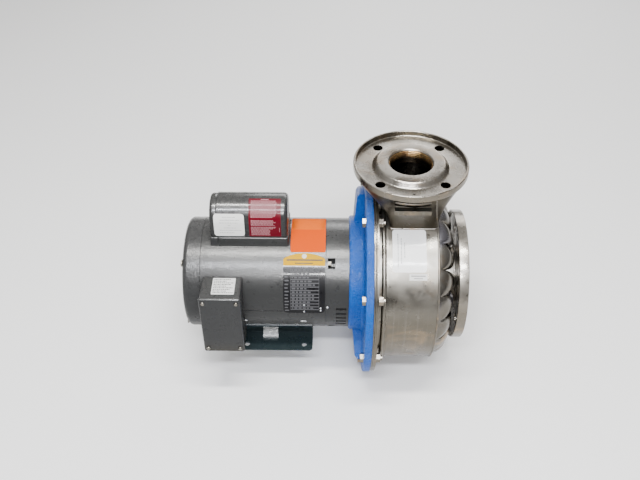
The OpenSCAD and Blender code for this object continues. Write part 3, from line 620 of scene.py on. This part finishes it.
def skirt_ring(x0, x1, g, part):
    """Rounded rectangle round the cover's foot, grown by g, a part of the way down to the motor."""
    y0, y1 = CAP_Y - CAP_R - g, CAP_Y + CAP_R + g
    pts = fillet([(x0 - g, y0), (x1 + g, y0), (x1 + g, y1), (x0 - g, y1)], [0.003, 0.005, 0.005, 0.003], 5)
    out = []
    for i, p in enumerate(pts):
        q = pts[(i + 1) % len(pts)]
        for j in range(12):
            x, y = p[0] + (q[0] - p[0]) * j / 12, p[1] + (q[1] - p[1]) * j / 12
            out.append((x, y, LIP_Z + (motor_top(y) - LIP_Z) * part))
    return out


SKIRT_PROFILE = [(-0.0008, 0.0), (0.0012, -0.01), (0.0024, 0.02), (0.0031, 0.08), (0.0031, 0.5),
                 (0.0033, 0.86), (0.0042, 0.93), (0.0044, 1.0), (0.0012, 1.0), (-0.0008, 0.5)]
for tag, x0, x1, paint in (("foot", -0.1, 0.026, "motor_paint"), ("foot_end", -0.1145, -0.105, "bell_paint")):
    v, f = loft([skirt_ring(x0, x1, g, part) for g, part in SKIRT_PROFILE], loop=True)
    skirt = add_object("cover_" + tag, v, f, M[paint], slot=paint)
    soften(skirt, 45)


# ---------------------------------------------------------------- terminal box

def rounded_box(name, lo, hi, radius, segments, mat, slot=None, replaces=()):
    v, f = box(lo, hi)
    obj = add_object(name, v, f, mat, slot=slot, replaces=replaces)
    bm = bmesh.new()
    bm.from_mesh(obj.data)
    bmesh.ops.bevel(bm, geom=list(bm.edges), offset=radius, segments=segments, profile=0.5, affect="EDGES")
    bm.to_mesh(obj.data)
    bm.free()
    soften(obj, 60)
    return obj


BX0, BX1 = -0.131, -0.056
BZ0, BZ1 = 0.042, 0.18
BFRONT = -0.15
BBACK = -0.078
LID_OVER = 0.0014
LID_DEPTH = 0.0095
tbox = rounded_box("box_shell", (BX0, BFRONT + 0.0035, BZ0), (BX1, BBACK, BZ1), 0.0035, 4, M["motor_paint"],
                   replaces=("terminal_box", "knockout_plug"))
cut(tbox, [cylinder((-0.2, 0, AXIS_Z), (0.0, 0, AXIS_Z), MOTOR_R + 0.0002, FACET_TURN)])
soften(tbox, 50)
lid_lo = (BX0 - LID_OVER, BFRONT, BZ0 - LID_OVER)
lid_hi = (BX1 + LID_OVER, BFRONT + LID_DEPTH, BZ1 + LID_OVER)
rounded_box("box_lid", lid_lo, lid_hi, 0.0042, 5, M["bell_paint"], replaces=("terminal_cover",))


# ---------------------------------------------------------------- curved prints on the motor, drum and cover

def curved_strip(x0, x1, a0, a1, r, t=0.00012, da=2.0, dx=0.02):
    """Thin closed patch on a cylinder about the shaft."""
    na = max(1, int(math.ceil(abs(a1 - a0) / da)))
    nx = max(1, int(math.ceil((x1 - x0) / dx)))
    rings = []
    for i in range(na + 1):
        a = a0 + (a1 - a0) * i / na
        row = [on_motor(x0 + (x1 - x0) * k / nx, a, r + t) for k in range(nx + 1)]
        row += [on_motor(x1 + (x0 - x1) * k / nx, a, r) for k in range(nx + 1)]
        rings.append(row)
    return loft(rings)


def levels_of(outline, step, digits):
    """Levels at which a closed outline is sliced: those of its points and every step between them."""
    marks = [p[1] for p in outline]
    lo, hi = min(marks), max(marks)
    even = {round(lo + step * k, digits) for k in range(int((hi - lo) / step) + 1)}
    return sorted({round(m, digits) for m in marks} | even)


def span_at(outline, level, slack):
    """Least and greatest x of a closed outline where its second coordinate is at a level."""
    hits = []
    for i, (xa, la) in enumerate(outline):
        xb, lb = outline[(i + 1) % len(outline)]
        if abs(la - lb) < 1e-9:
            if abs(la - level) < 1e-6:
                hits += [xa, xb]
        elif min(la, lb) - slack <= level <= max(la, lb) + slack:
            hits.append(xa + (xb - xa) * (level - la) / (lb - la))
    return min(hits), max(hits)


def outline_patch(outline, r, t, mat, name, slot, replaces=()):
    """Closed thin sheet of a 2D outline (x, angle) wrapped on the shaft's cylinder: sliced along the angle."""
    rings = []
    for a in levels_of(outline, 1.5, 3):
        x0, x1 = span_at(outline, a, 1e-6)
        nx = 10
        row = [(x0 + (x1 - x0) * k / nx) for k in range(nx + 1)]
        rings.append([on_motor(x, a, r + t) for x in row] + [on_motor(x, a, r) for x in reversed(row)])
    v, f = loft(rings)
    obj = add_object(name, v, f, mat, slot=slot, replaces=replaces)
    soften(obj, 50)
    return obj


# Nameplate: a sheet with a bulging top, a yellow band, ruled rows and dashes in place of words.
PR = MOTOR_R + LIFT
PLATE_T = 0.0006
PLATE_X0, PLATE_X1 = 0.02, 0.0985
RULE_X0, RULE_X1 = 0.0335, 0.0875
ROW_PITCH = 3.72
ARCH_STEPS = 24
plate_outline = [(0.0265, -3.2), (0.04, -3.45), (0.078, -3.45), (0.092, -3.2), (0.0965, -2.0),
                 (PLATE_X1, 0.5), (PLATE_X1, 50.0)]
top = []
for k in range(ARCH_STEPS + 1):
    rise = 6.2 * math.sin(math.pi * k / ARCH_STEPS) ** 0.7
    top.append((PLATE_X1 + (PLATE_X0 - PLATE_X1) * k / ARCH_STEPS, 55.2 + rise))
plate_outline += top + [(PLATE_X0, 50.0), (PLATE_X0, 0.5), (0.022, -2.0)]
outline_patch(plate_outline, PR, PLATE_T, M["plate_yellow_black"], "plate_sheet", "plate_yellow_black",
              replaces=("nameplate",))
yellow = [(0.0202, 48.6), (0.0983, 48.6)] + [(x, a - 0.1) for x, a in top]
outline_patch(yellow, PR + PLATE_T, 0.00012, M["print_yellow"], "plate_band", "plate_yellow_black")
PT = PR + 0.00062
rows = []
for k in range(13):
    a = 46.2 - k * ROW_PITCH
    rows.append(curved_strip(RULE_X0, RULE_X1, a - 0.5, a + 0.5, PT))
    if k > 0:
        rows.append(curved_strip(0.0225, 0.0305 - 0.001 * (k % 3), a - 1.9, a - 0.5, PT))
for k in range(12):
    a = 44.4 - k * ROW_PITCH
    x = 0.036
    seed = (k * 37) % 11
    while x < 0.078 - 0.003 * (seed % 5):
        w = 0.0025 + 0.0016 * ((seed * 7 + int(x * 4000)) % 4)
        rows.append(curved_strip(x, min(x + w, 0.086), a - 0.75, a + 0.75, PT))
        x += w + 0.0022
rows.append(curved_strip(RULE_X0, 0.0342, 1.2, 46.6, PT))
rows.append(curved_strip(0.0868, RULE_X1, 1.2, 46.6, PT))
add_print("plate_print", rows, M["print_plate"], "plate_yellow_black")
rows = [curved_strip(0.0265, 0.094, 53.6, 54.9, PR + 0.00074),
        curved_strip(0.042, 0.0755, 50.6, 51.5, PR + 0.00074)]
add_print("plate_band_lines", rows, M["print_dark"], "plate_yellow_black")
MID_X = 0.0592
v, f = cylinder(on_motor(MID_X, 58.2, PR + PLATE_T), on_motor(MID_X, 58.2, PR + 0.0009), 0.0045, 32)
add_object("plate_disc", v, f, M["print_pale"], slot="plate_yellow_black", smooth=False)

rivets = []
for x, a in ((MID_X, -1.2), (MID_X, 7.4), (0.0905, 3.4), (0.0905, 0.2)):
    for k, (r, h) in enumerate(((0.0019, 0.0006), (0.0015, 0.0011), (0.0008, 0.0014))):
        rivets.append(cylinder(on_motor(x, a, PR + 0.0003), on_motor(x, a, PR + 0.0005 + h), r, 20))
add_joined("plate_pins", rivets, M["capacitor_can"], slot="capacitor_can", replaces=("nameplate_rivets",))

# Orange sticker with a paler upper half.
sticker = [(0.033, 64), (0.0345, 62.5), (0.0975, 62.5), (0.099, 64),
           (0.099, 114.5), (0.0975, 116), (0.0345, 116), (0.033, 114.5)]
outline_patch(sticker, PR, LABEL_T, M["label_orange"], "sticker_sheet", "label_orange",
              replaces=("rotation_sticker",))
v, f = curved_strip(0.0345, 0.0975, 90.5, 114.8, PR + 0.00036)
add_object("sticker_top", v, f, M["print_light_orange"], slot="label_orange")


FLAT_FOOT_Z = 0.2355


def on_cover(x, s, r_out=0.0):
    """Point on the capacitor cover's front: s is the length along its outline, up from the foot of its flat."""
    flat = CAP_Z - FLAT_FOOT_Z
    half = CAP_R + r_out
    if s <= flat:
        return (x, CAP_Y - half, FLAT_FOOT_Z + s)
    a = (s - flat) / CAP_R
    return (x, CAP_Y - half * math.cos(a), CAP_Z + half * math.sin(a))


COVER_LABEL_T = 0.0003
COVER_PRINT_T = 0.00036


def cover_section(x0, x1, s, t0, t1):
    return [on_cover(x0, s, t1), on_cover(x1, s, t1), on_cover(x1, s, t0), on_cover(x0, s, t0)]


def cover_strip(x0, x1, s0, s1, ds=0.0025):
    """Printed dash on a label of the capacitor cover."""
    n = max(1, int(math.ceil((s1 - s0) / ds)))
    levels = [s0 + (s1 - s0) * i / n for i in range(n + 1)]
    return loft([cover_section(x0, x1, s, COVER_LABEL_T, COVER_PRINT_T) for s in levels])


def cover_outline(outline, mat, name, slot, replaces=()):
    """Label of a 2D outline (x, length) laid on the capacitor cover."""
    rings = []
    for s in levels_of(outline, 0.002, 6):
        x0, x1 = span_at(outline, s, 1e-7)
        rings.append(cover_section(x0, x1, s, 0.0, COVER_LABEL_T))
    v, f = loft(rings)
    obj = add_object(name, v, f, mat, slot=slot, replaces=replaces)
    soften(obj, 50)
    return obj


def rounded_rect(x0, x1, s0, s1, r, steps=5):
    return fillet([(x0, s0), (x1, s0), (x1, s1), (x0, s1)], r, steps)


# White wiring label: centred rows of dashes, each from one share of the width to another.
sheet = rounded_rect(-0.1085, -0.052, 0.0015, 0.0505, 0.006)
cover_outline(sheet, M["label_white"], "wiring_sheet", "label_white", replaces=("wiring_label",))
ROW_SHARES = ((0.25, 0.75), (0.15, 0.9), (0.12, 0.82), (0.45, 0.52), (0.3, 0.74), (0.12, 0.92), (0.12, 0.7))
ROW_X0, ROW_W = -0.104, 0.048
rows = []
for k, (a, b) in enumerate(ROW_SHARES):
    s = 0.0435 - k * 0.0058
    x = ROW_X0 + ROW_W * a
    while x < ROW_X0 + ROW_W * b:
        w = 0.0016 + 0.0009 * ((k * 5 + int(x * 9000)) % 3)
        rows.append(cover_strip(x, x + w, s, s + 0.0012))
        x += w + 0.0011
add_print("wiring_print", rows, M["print_grey"], "label_white")

# Red label: three blocks of dashes.
sheet = rounded_rect(-0.0435, 0.016, 0.001, 0.0815, 0.0006, 2)
cover_outline(sheet, M["label_red"], "caution_sheet", "label_red", replaces=("caution_label",))
rows = []
k = 0
s = 0.0775
while s > 0.004:
    k += 1
    s -= 0.0021
    if 0.0385 < s < 0.042 or 0.0235 < s < 0.0255:
        continue
    x = -0.0395
    right = 0.006 if s > 0.05 else 0.004 - 0.004 * ((k * 5) % 3) / 2
    if s < 0.018:
        right = -0.006
    while x < right:
        w = 0.0012 + 0.0010 * ((k * 7 + int(x * 11000)) % 4)
        rows.append(cover_strip(x, x + w, s, s + 0.0011))
        x += w + 0.0007
rows.append(cover_strip(-0.021, -0.007, 0.0782, 0.0798))
rows.append(cover_strip(0.0128, 0.0135, 0.012, 0.022))
add_print("caution_print", rows, M["print_pink"], "label_red")


# ---------------------------------------------------------------- terminal box label

def flat_rows(x0, x1, y0, y1, z, t, count, fill):
    """Rows of dashes on a level surface."""
    rows = []
    for k in range(count):
        y = y0 + (y1 - y0) * (k + 0.3) / count
        h = (y1 - y0) / count * 0.42
        x = x0
        while x < x1 - 0.002 - 0.006 * ((k * 5) % 3):
            w = 0.0012 + 0.0011 * ((k * 7 + int(x * 9000)) % 4)
            rows.append(box((x, y, z), (min(x + w, x1), y + h, z + t)))
            x += w + fill
    return rows


label = fillet([(-0.110, -0.134), (-0.068, -0.134), (-0.068, -0.091), (-0.110, -0.091)], 0.001, 3)
rings = [[(x, y, BZ1 + z) for x, y in label] for z in (0.0, 0.0003)]
v, f = loft(rings)
add_object("box_sheet", v, f, M["label_white"], slot="label_white", replaces=("box_label",), smooth=False)
rows = flat_rows(-0.108, -0.070, -0.132, -0.093, 0.1803, 0.00006, 9, 0.0009)
add_print("box_print", rows, M["print_dark"], "label_white")


# ---------------------------------------------------------------- pressed flanges

OUT_FLOOR = OUT_TOP - 0.0095
OUT_UNDER = OUT_TOP - 0.013
OUT_R = 0.103           # rim of the discharge flange
PIPE_R = 0.039          # inside of the discharge pipe
PIPE_OUT_R = 0.0435
OUT_BOLTS_R = 0.08
IN_BOLTS_R = 0.09525
HOLE_R = 0.009
pts = [(0.262, PIPE_R), (0.262, PIPE_OUT_R), (OUT_UNDER, PIPE_OUT_R), (OUT_UNDER, 0.1026),
       (OUT_UNDER + 0.001, OUT_R), (OUT_TOP, OUT_R), (OUT_TOP, 0.0992), (OUT_FLOOR, 0.0978),
       (OUT_FLOOR, 0.0685), (OUT_TOP, 0.0615), (OUT_TOP, 0.0412), (OUT_TOP - 0.0022, PIPE_R)]
prof = fillet(pts, [0, 0, 0.002, 0.0003, 0.0006, 0.0014, 0.0012, 0.0014, 0.004, 0.005, 0.0008, 0.0008], 6)
v, f = revolve_z(prof, OUT_X, FACET_TURN)
flange = add_object("discharge_dish", v, f, M["stainless_bright"], replaces=("discharge_flange",))
holes = []
for k in range(4):
    a = math.radians(45 + 90 * k)
    hx, hy = OUT_X + OUT_BOLTS_R * math.cos(a), OUT_BOLTS_R * math.sin(a)
    holes.append(cylinder((hx, hy, OUT_TOP - 0.03), (hx, hy, OUT_TOP + 0.01), HOLE_R, 40))
holes.append(cylinder((0.1, 0, AXIS_Z), (0.4, 0, AXIS_Z), DRUM_R + 0.0002, FACET_TURN))
for y, r in ((-0.0835, 0.0034), (-0.0705, 0.0022)):
    holes.append(cylinder((OUT_X, y, OUT_FLOOR - 0.0015), (OUT_X, y, OUT_FLOOR + 0.004), r, 3))
cut(flange, holes)
soften(flange, 30)
bevel_mod(flange, 0.0006, 2, 40)

# Threaded mouth of the discharge: rounded ridges in oxide, with painted shade down the bore.
THREAD_TURNS = 7
THREAD_PITCH = 0.0036
THREAD_DEPTH = 0.0022
SLEEVE_R = 0.03895
sleeve_top, sleeve_end = OUT_TOP - 0.0035, OUT_TOP - 0.09
ridges = []
for k in range(4 * THREAD_TURNS + 1):
    z = sleeve_top - THREAD_PITCH * k / 4
    ridges.append((z, 0.0388 - THREAD_DEPTH * (0.5 - 0.5 * math.cos(math.pi * k / 2))))
v, f = revolve_z([(sleeve_top, SLEEVE_R)] + ridges + [(sleeve_end, 0.0386), (sleeve_end, SLEEVE_R)], OUT_X, 128)
add_object("discharge_thread", v, f, M["oxide_and_bore_shade"], slot="stainless_bright")

IN_R = 0.127            # rim of the suction flange
NOZZLE_R = 0.05455
pts = [(XS1 - 0.013, NOZZLE_R), (XS1 - 0.013, 0.1228), (XS0 + 0.0008, 0.1232), (XS0 + 0.0008, IN_R),
       (XS1, IN_R), (XS1, 0.1232), (XS1 - 0.0092, 0.122), (XS1 - 0.0092, 0.0825), (XS1, 0.0755), (XS1, NOZZLE_R)]
prof = fillet(pts, [0, 0.002, 0.0012, 0.0012, 0.0014, 0.0012, 0.0014, 0.004, 0.005, 0], 6)
v, f = revolve_x(prof, FACET_TURN)
sflange = add_object("suction_dish", v, f, M["stainless_bright"], replaces=("suction_flange",))
holes = []
for k in range(8):
    p = on_motor(XS1, 22.5 + 45 * k, IN_BOLTS_R)
    holes.append(cylinder((XS1 - 0.03, p[1], p[2]), (XS1 + 0.01, p[1], p[2]), HOLE_R, 40))
cut(sflange, holes)
soften(sflange, 30)
bevel_mod(sflange, 0.0006, 2, 40)


# ---------------------------------------------------------------- lobed suction cover

LOBES = 20
LOBE_HEIGHT = 0.032


def lobe_crest(u):
    """Height of a lobe's crest at fraction u from the drum to the nozzle."""
    if u < 0.4:
        return LOBE_HEIGHT * math.sqrt(1 - (1 - u / 0.4) ** 2)
    return LOBE_HEIGHT - (LOBE_HEIGHT - 0.025) * (u - 0.4) / 0.6


def lobe_floor(u):
    """Height of the groove between two lobes."""
    if u < 0.12:
        return 0.009 * math.sqrt(1 - (1 - u / 0.12) ** 2)
    return 0.009 + 0.016 * (u - 0.12) / 0.88


def cover_ring(u, t, steps=480):
    """Ring of the suction cover at fraction u from the drum to the nozzle, set inwards by t."""
    e = (1 - u) ** 4
    r = DRUM_R - 0.005 - 0.105 * u - t * e
    lo, hi = lobe_floor(u), lobe_crest(u)
    out = []
    for k in range(steps):
        a = 360 * k / steps
        phase = a * LOBES / 360
        crest = (1 - min(1.0, 2 * abs(phase - round(phase))) ** 2.6) ** 0.45
        out.append(on_motor(XD1 + 0.0001 + max(0.0, lo + (hi - lo) * crest - t * (1 - e)), a, r))
    return out


N = 36
us = [(i / N) ** 1.6 for i in range(N + 1)]
v, f = loft([cover_ring(u, 0) for u in us] + [cover_ring(u, 0.003) for u in reversed(us)], loop=True)
lobed = add_object("lobed_cover", v, f, M["stainless_lobes"], replaces=("suction_cover",))
soften(lobed, 60)


# ---------------------------------------------------------------- discharge shroud

FOOT_X = 0.2595         # middle of the shroud's foot, which is a rounded rectangle round the pipe
FOOT_HALF_X, FOOT_HALF_Y = 0.0445, 0.052
HEAD_HALF_X, HEAD_HALF_Y = 0.097, 0.0886
SQUARENESS = 16.0


def shroud_ring(u, t, n=200):
    """Outline of the neck's shroud at fraction u from the drum to the flange, drawn in by t."""
    out = []
    off = OUT_X - FOOT_X
    p = SQUARENESS
    w = u * u * (3 - 2 * u)
    for k in range(n):
        a = 2 * math.pi * (k + 0.37) / n
        ca, sa = math.cos(a), math.sin(a)
        square = 1.0 / ((abs(ca) / (FOOT_HALF_X - t)) ** p + (abs(sa) / (FOOT_HALF_Y - t)) ** p) ** (1 / p)
        around = off * ca + math.sqrt((0.0463 - t) ** 2 - (off * sa) ** 2)
        reach = max(square, around)
        bx, by = reach * ca, reach * sa
        bz = AXIS_Z + math.sqrt((DRUM_R + 0.0003) ** 2 - by * by)
        x = (FOOT_X + bx) * (1 - w) + (OUT_X + (HEAD_HALF_X - t) * ca) * w
        y = by * (1 - w) + (HEAD_HALF_Y - t) * sa * w
        out.append((x, y, bz + (OUT_UNDER - 0.0001 - bz) * u))
    return out


N = 28
SHEET_T = 0.0025
rings = [shroud_ring(i / N, 0) for i in range(N + 1)] + [shroud_ring(i / N, SHEET_T) for i in range(N, -1, -1)]
v, f = loft(rings, loop=True)
# Its material paints the flange's shadow on it.
shroud = add_object("neck_shroud", v, f, M["painted_shade"], replaces=("discharge_neck",))
window = box((OUT_X - 0.031, -0.11, OUT_TOP - 0.037), (OUT_X + 0.031, -0.04, OUT_TOP - 0.024))
rim_cuts = [cylinder((0.18, 0, AXIS_Z), (x, 0, AXIS_Z), DRUM_R + gap, FACET_TURN)
            for x, gap in ((0.2121, 0.0096), (0.2122, 0.0052))]
cut(shroud, [window] + rim_cuts)
soften(shroud, 28)


# ---------------------------------------------------------------- weld beads

def bead(name, path, radius, closed=True, ripple=0.0035, sides=10):
    """Weld bead: a tube along a path whose radius ripples like stacked pools."""
    n = len(path)
    rings = []
    length = 0.0
    for i in range(n):
        p = Vector(path[i])
        q = Vector(path[(i + 1) % n]) if closed or i < n - 1 else p
        o = Vector(path[i - 1]) if closed or i > 0 else p
        d = (q - o).normalized()
        if i:
            length += (p - Vector(path[i - 1])).length
        ref = Vector((1, 0, 0)) if abs(d.x) < 0.8 else Vector((0, 0, 1))
        u = (ref - d * ref.dot(d)).normalized()
        w = d.cross(u)
        r = radius * (1 + 0.13 * math.sin(2 * math.pi * length / ripple))
        rings.append(circle(p, r, u, w, sides))
    v, f = loft(rings, loop=closed, caps=not closed)
    return add_object(name, v, f, M["weld"], slot="stainless")


def densify(path, step, closed=True):
    """Path with points no farther apart than about a step."""
    out = []
    n = len(path)
    for i in range(n if closed else n - 1):
        a, b = Vector(path[i]), Vector(path[(i + 1) % n])
        k = max(1, int((b - a).length / step))
        out += [tuple(a + (b - a) * j / k) for j in range(k)]
    return out


def level_arc(rx, ry, z, angles):
    """Points of an ellipse about the discharge's middle at a height."""
    return [(OUT_X + rx * math.cos(a), ry * math.sin(a), z) for a in angles]


def shaft_circle(x, r, steps):
    """Points of a circle about the shaft."""
    return [on_motor(x, 360 * k / steps, r) for k in range(steps)]


bead("weld_shroud_foot", densify(shroud_ring(0.004, -0.0002), 0.0012), 0.0019)
turns = [2 * math.pi * k / 440 for k in range(440)]
bead("weld_shroud_top", level_arc(0.0972, 0.0888, OUT_UNDER - 0.0006, turns), 0.0015)
arc = [math.radians(-110 + 40 * k / 60) for k in range(61)]
bead("window_edge", level_arc(0.0895, 0.0895, OUT_TOP - 0.0262, arc), 0.0024, closed=False, ripple=1.0)
for name, side in (("front", -1), ("rear", 1)):
    path = []
    for k in range(41):
        u = 0.985 * k / 40 + 0.005
        x = 0.3032 - 0.0142 * u
        near = [p for p in shroud_ring(u, -0.0002, 400) if p[1] * side > 0 and p[0] > OUT_X]
        path.append(min(near, key=lambda p: abs(p[0] - x)))
    bead("weld_seam_" + name, path, 0.0014, closed=False)
bead("weld_nozzle", shaft_circle(XD1 + 0.0255, 0.0553, 260), 0.002)
bead("weld_suction_dish", shaft_circle(XS1 - 0.0134, 0.0553, 260), 0.0018)
bead("rolled_edge", shaft_circle(XD1 - 0.0012, DRUM_R - 0.0002, 700), 0.0017, ripple=1.0)
bead("weld_cover_rim", shaft_circle(XD1 + 0.0006, DRUM_R - 0.0052, 700), 0.0013)

# Spot-weld marks on the frame above the base, and a small screw on the drive end.
def stud(x, angle, sunk, steps):
    """Low round boss on the motor, as stacked discs of (radius, height)."""
    root = on_motor(x, angle, MOTOR_R - sunk)
    return [cylinder(root, on_motor(x, angle, MOTOR_R + h), r, 24) for r, h in steps]


marks = []
for x in (-0.057, 0.057):
    for side in (-19.5, 199.5):
        for disc in ((0.0036, 0.0003), (0.0026, 0.0006), (0.0013, 0.0008)):
            for dx in (-0.0022, 0.0, 0.0022):
                marks += stud(x + dx, side, 0.0002, [disc])
add_joined("spot_welds", marks, M["capacitor_can"], slot="capacitor_can")
screw = stud(0.1035, 4.3, 0.0005, ((0.0026, 0.0006), (0.0021, 0.0012), (0.0012, 0.0015)))
add_joined("bracket_screw", screw, M["capacitor_can"], slot="capacitor_can")


# ---------------------------------------------------------------- casing labels

DRL = DRUM_R + LIFT
lab = [(0.2235, 43), (0.2785, 43), (0.2815, 44.2), (0.2815, 69.6),
       (0.2785, 71), (0.2235, 71), (0.2205, 69.6), (0.2205, 44.2)]
outline_patch(lab, DRL, LABEL_T, M["label_silver"], "casing_sheet", "label_silver", ("casing_label",))
rows = []
for j in range(3):
    x = 0.2295 + 0.006 * j
    a = 68.0 - 3.0 * j
    while a > 46 + 3 * j:
        w = 0.5 + 0.35 * ((j * 3 + int(a * 7)) % 3)
        rows.append(curved_strip(x, x + 0.0014, a - w, a, DRL + 0.00036))
        a -= w + 0.45
add_print("casing_print", rows, M["print_grey"], "label_silver")
tag = [(0.2505, 38.0), (0.2825, 38.0), (0.2825, 42.0), (0.2505, 42.0)]
outline_patch(tag, DRL, 0.0003, M["label_white"], "tag_sheet", "label_white", ("casing_tag",))
rows = [curved_strip(0.2535, 0.2795, 40.4, 41.1, DRL + 0.00031),
        curved_strip(0.2585, 0.2745, 38.9, 39.5, DRL + 0.00031)]
add_print("tag_print", rows, M["print_grey"], "label_white")


# ---------------------------------------------------------------- camera, floor and light

CAM = Vector((0.10865, -1.1611, 1.2001))
YAW, PITCH, ROLL = -0.018, 0.712, -0.003
fwd = Vector((math.sin(YAW) * math.cos(PITCH), math.cos(YAW) * math.cos(PITCH), -math.sin(PITCH)))
right0 = Vector((math.cos(YAW), -math.sin(YAW), 0))
up0 = right0.cross(fwd)
right = right0 * math.cos(ROLL) + up0 * math.sin(ROLL)
up = up0 * math.cos(ROLL) - right0 * math.sin(ROLL)
cam_data = bpy.data.cameras.new("camera")
cam_data.lens = 44.54
cam_data.sensor_width = 36.0
cam = bpy.data.objects.new("camera", cam_data)
bpy.context.scene.collection.objects.link(cam)
cam.matrix_world = Matrix([(right[i], up[i], -fwd[i], CAM[i]) for i in range(3)] + [(0, 0, 0, 1)])
bpy.context.scene.camera = cam

FLOOR_Z = cad_box[0][2] - 0.0005
FLOOR_HALF = 12
corners = [(x * FLOOR_HALF, y * FLOOR_HALF, FLOOR_Z) for x, y in ((-1, -1), (1, -1), (1, 1), (-1, 1))]
mesh = bpy.data.meshes.new("floor")
mesh.from_pydata(corners, [], [(0, 1, 2, 3)])
floor = bpy.data.objects.new("floor", mesh)
bpy.context.scene.collection.objects.link(floor)
fm = bpy.data.materials.new("floor")
fm.use_nodes = True
bsdf = fm.node_tree.nodes["Principled BSDF"]
bsdf.inputs["Base Color"].default_value = (0.95, 0.95, 0.95, 1)
bsdf.inputs["Roughness"].default_value = 0.9
mesh.materials.append(fm)


def area(name, loc, target, size_x, size_y, energy, color=(1, 1, 1)):
    data = bpy.data.lights.new(name, "AREA")
    data.shape = "RECTANGLE"
    data.size = size_x
    data.size_y = size_y
    data.energy = energy
    data.color = color
    o = bpy.data.objects.new(name, data)
    bpy.context.scene.collection.objects.link(o)
    o.location = loc
    o.rotation_euler = (Vector(target) - Vector(loc)).to_track_quat("-Z", "Y").to_euler()


TARGET = (0.1, 0, 0.12)


def front_light(name, elevation, dist, size_x, size_y, energy, x=0.1, color=(1, 1, 1)):
    """Lamp in front of the pump at an elevation above its horizon, turned to it."""
    e = math.radians(elevation)
    place = (x, -dist * math.cos(e), TARGET[2] + dist * math.sin(e))
    area(name, place, TARGET, size_x, size_y, energy, color)


front_light("ceiling_near", 54, 2.4, 1.4, 0.14, 58, color=(0.93, 0.95, 1.0))
front_light("ceiling_far", 80, 2.4, 1.5, 0.18, 64, color=(1.0, 0.99, 0.95))
front_light("softbox", 72, 2.8, 2.4, 1.2, 14)
front_light("flash", 38, 2.0, 0.7, 0.05, 16, x=0.15)
area("back_fill", (0.6, 2.2, 1.2), TARGET, 1.8, 1.0, 22)

# Sky of the studio: a little brighter above.
world = bpy.data.worlds.new("studio")
world.use_nodes = True
nt = world.node_tree
coord = nt.nodes.new("ShaderNodeTexCoord")
split = nt.nodes.new("ShaderNodeSeparateXYZ")
nt.links.new(coord.outputs["Generated"], split.inputs[0])
ramp = nt.nodes.new("ShaderNodeMapRange")
ramp.interpolation_type = "SMOOTHSTEP"
ramp.inputs["From Min"].default_value = 0.1
ramp.inputs["From Max"].default_value = 0.85
ramp.inputs["To Min"].default_value = 0.28
ramp.inputs["To Max"].default_value = 0.5
nt.links.new(split.outputs[2], ramp.inputs["Value"])
nt.nodes["Background"].inputs["Color"].default_value = (1, 0.98, 0.95, 1)
nt.links.new(ramp.outputs["Result"], nt.nodes["Background"].inputs["Strength"])
bpy.context.scene.world = world
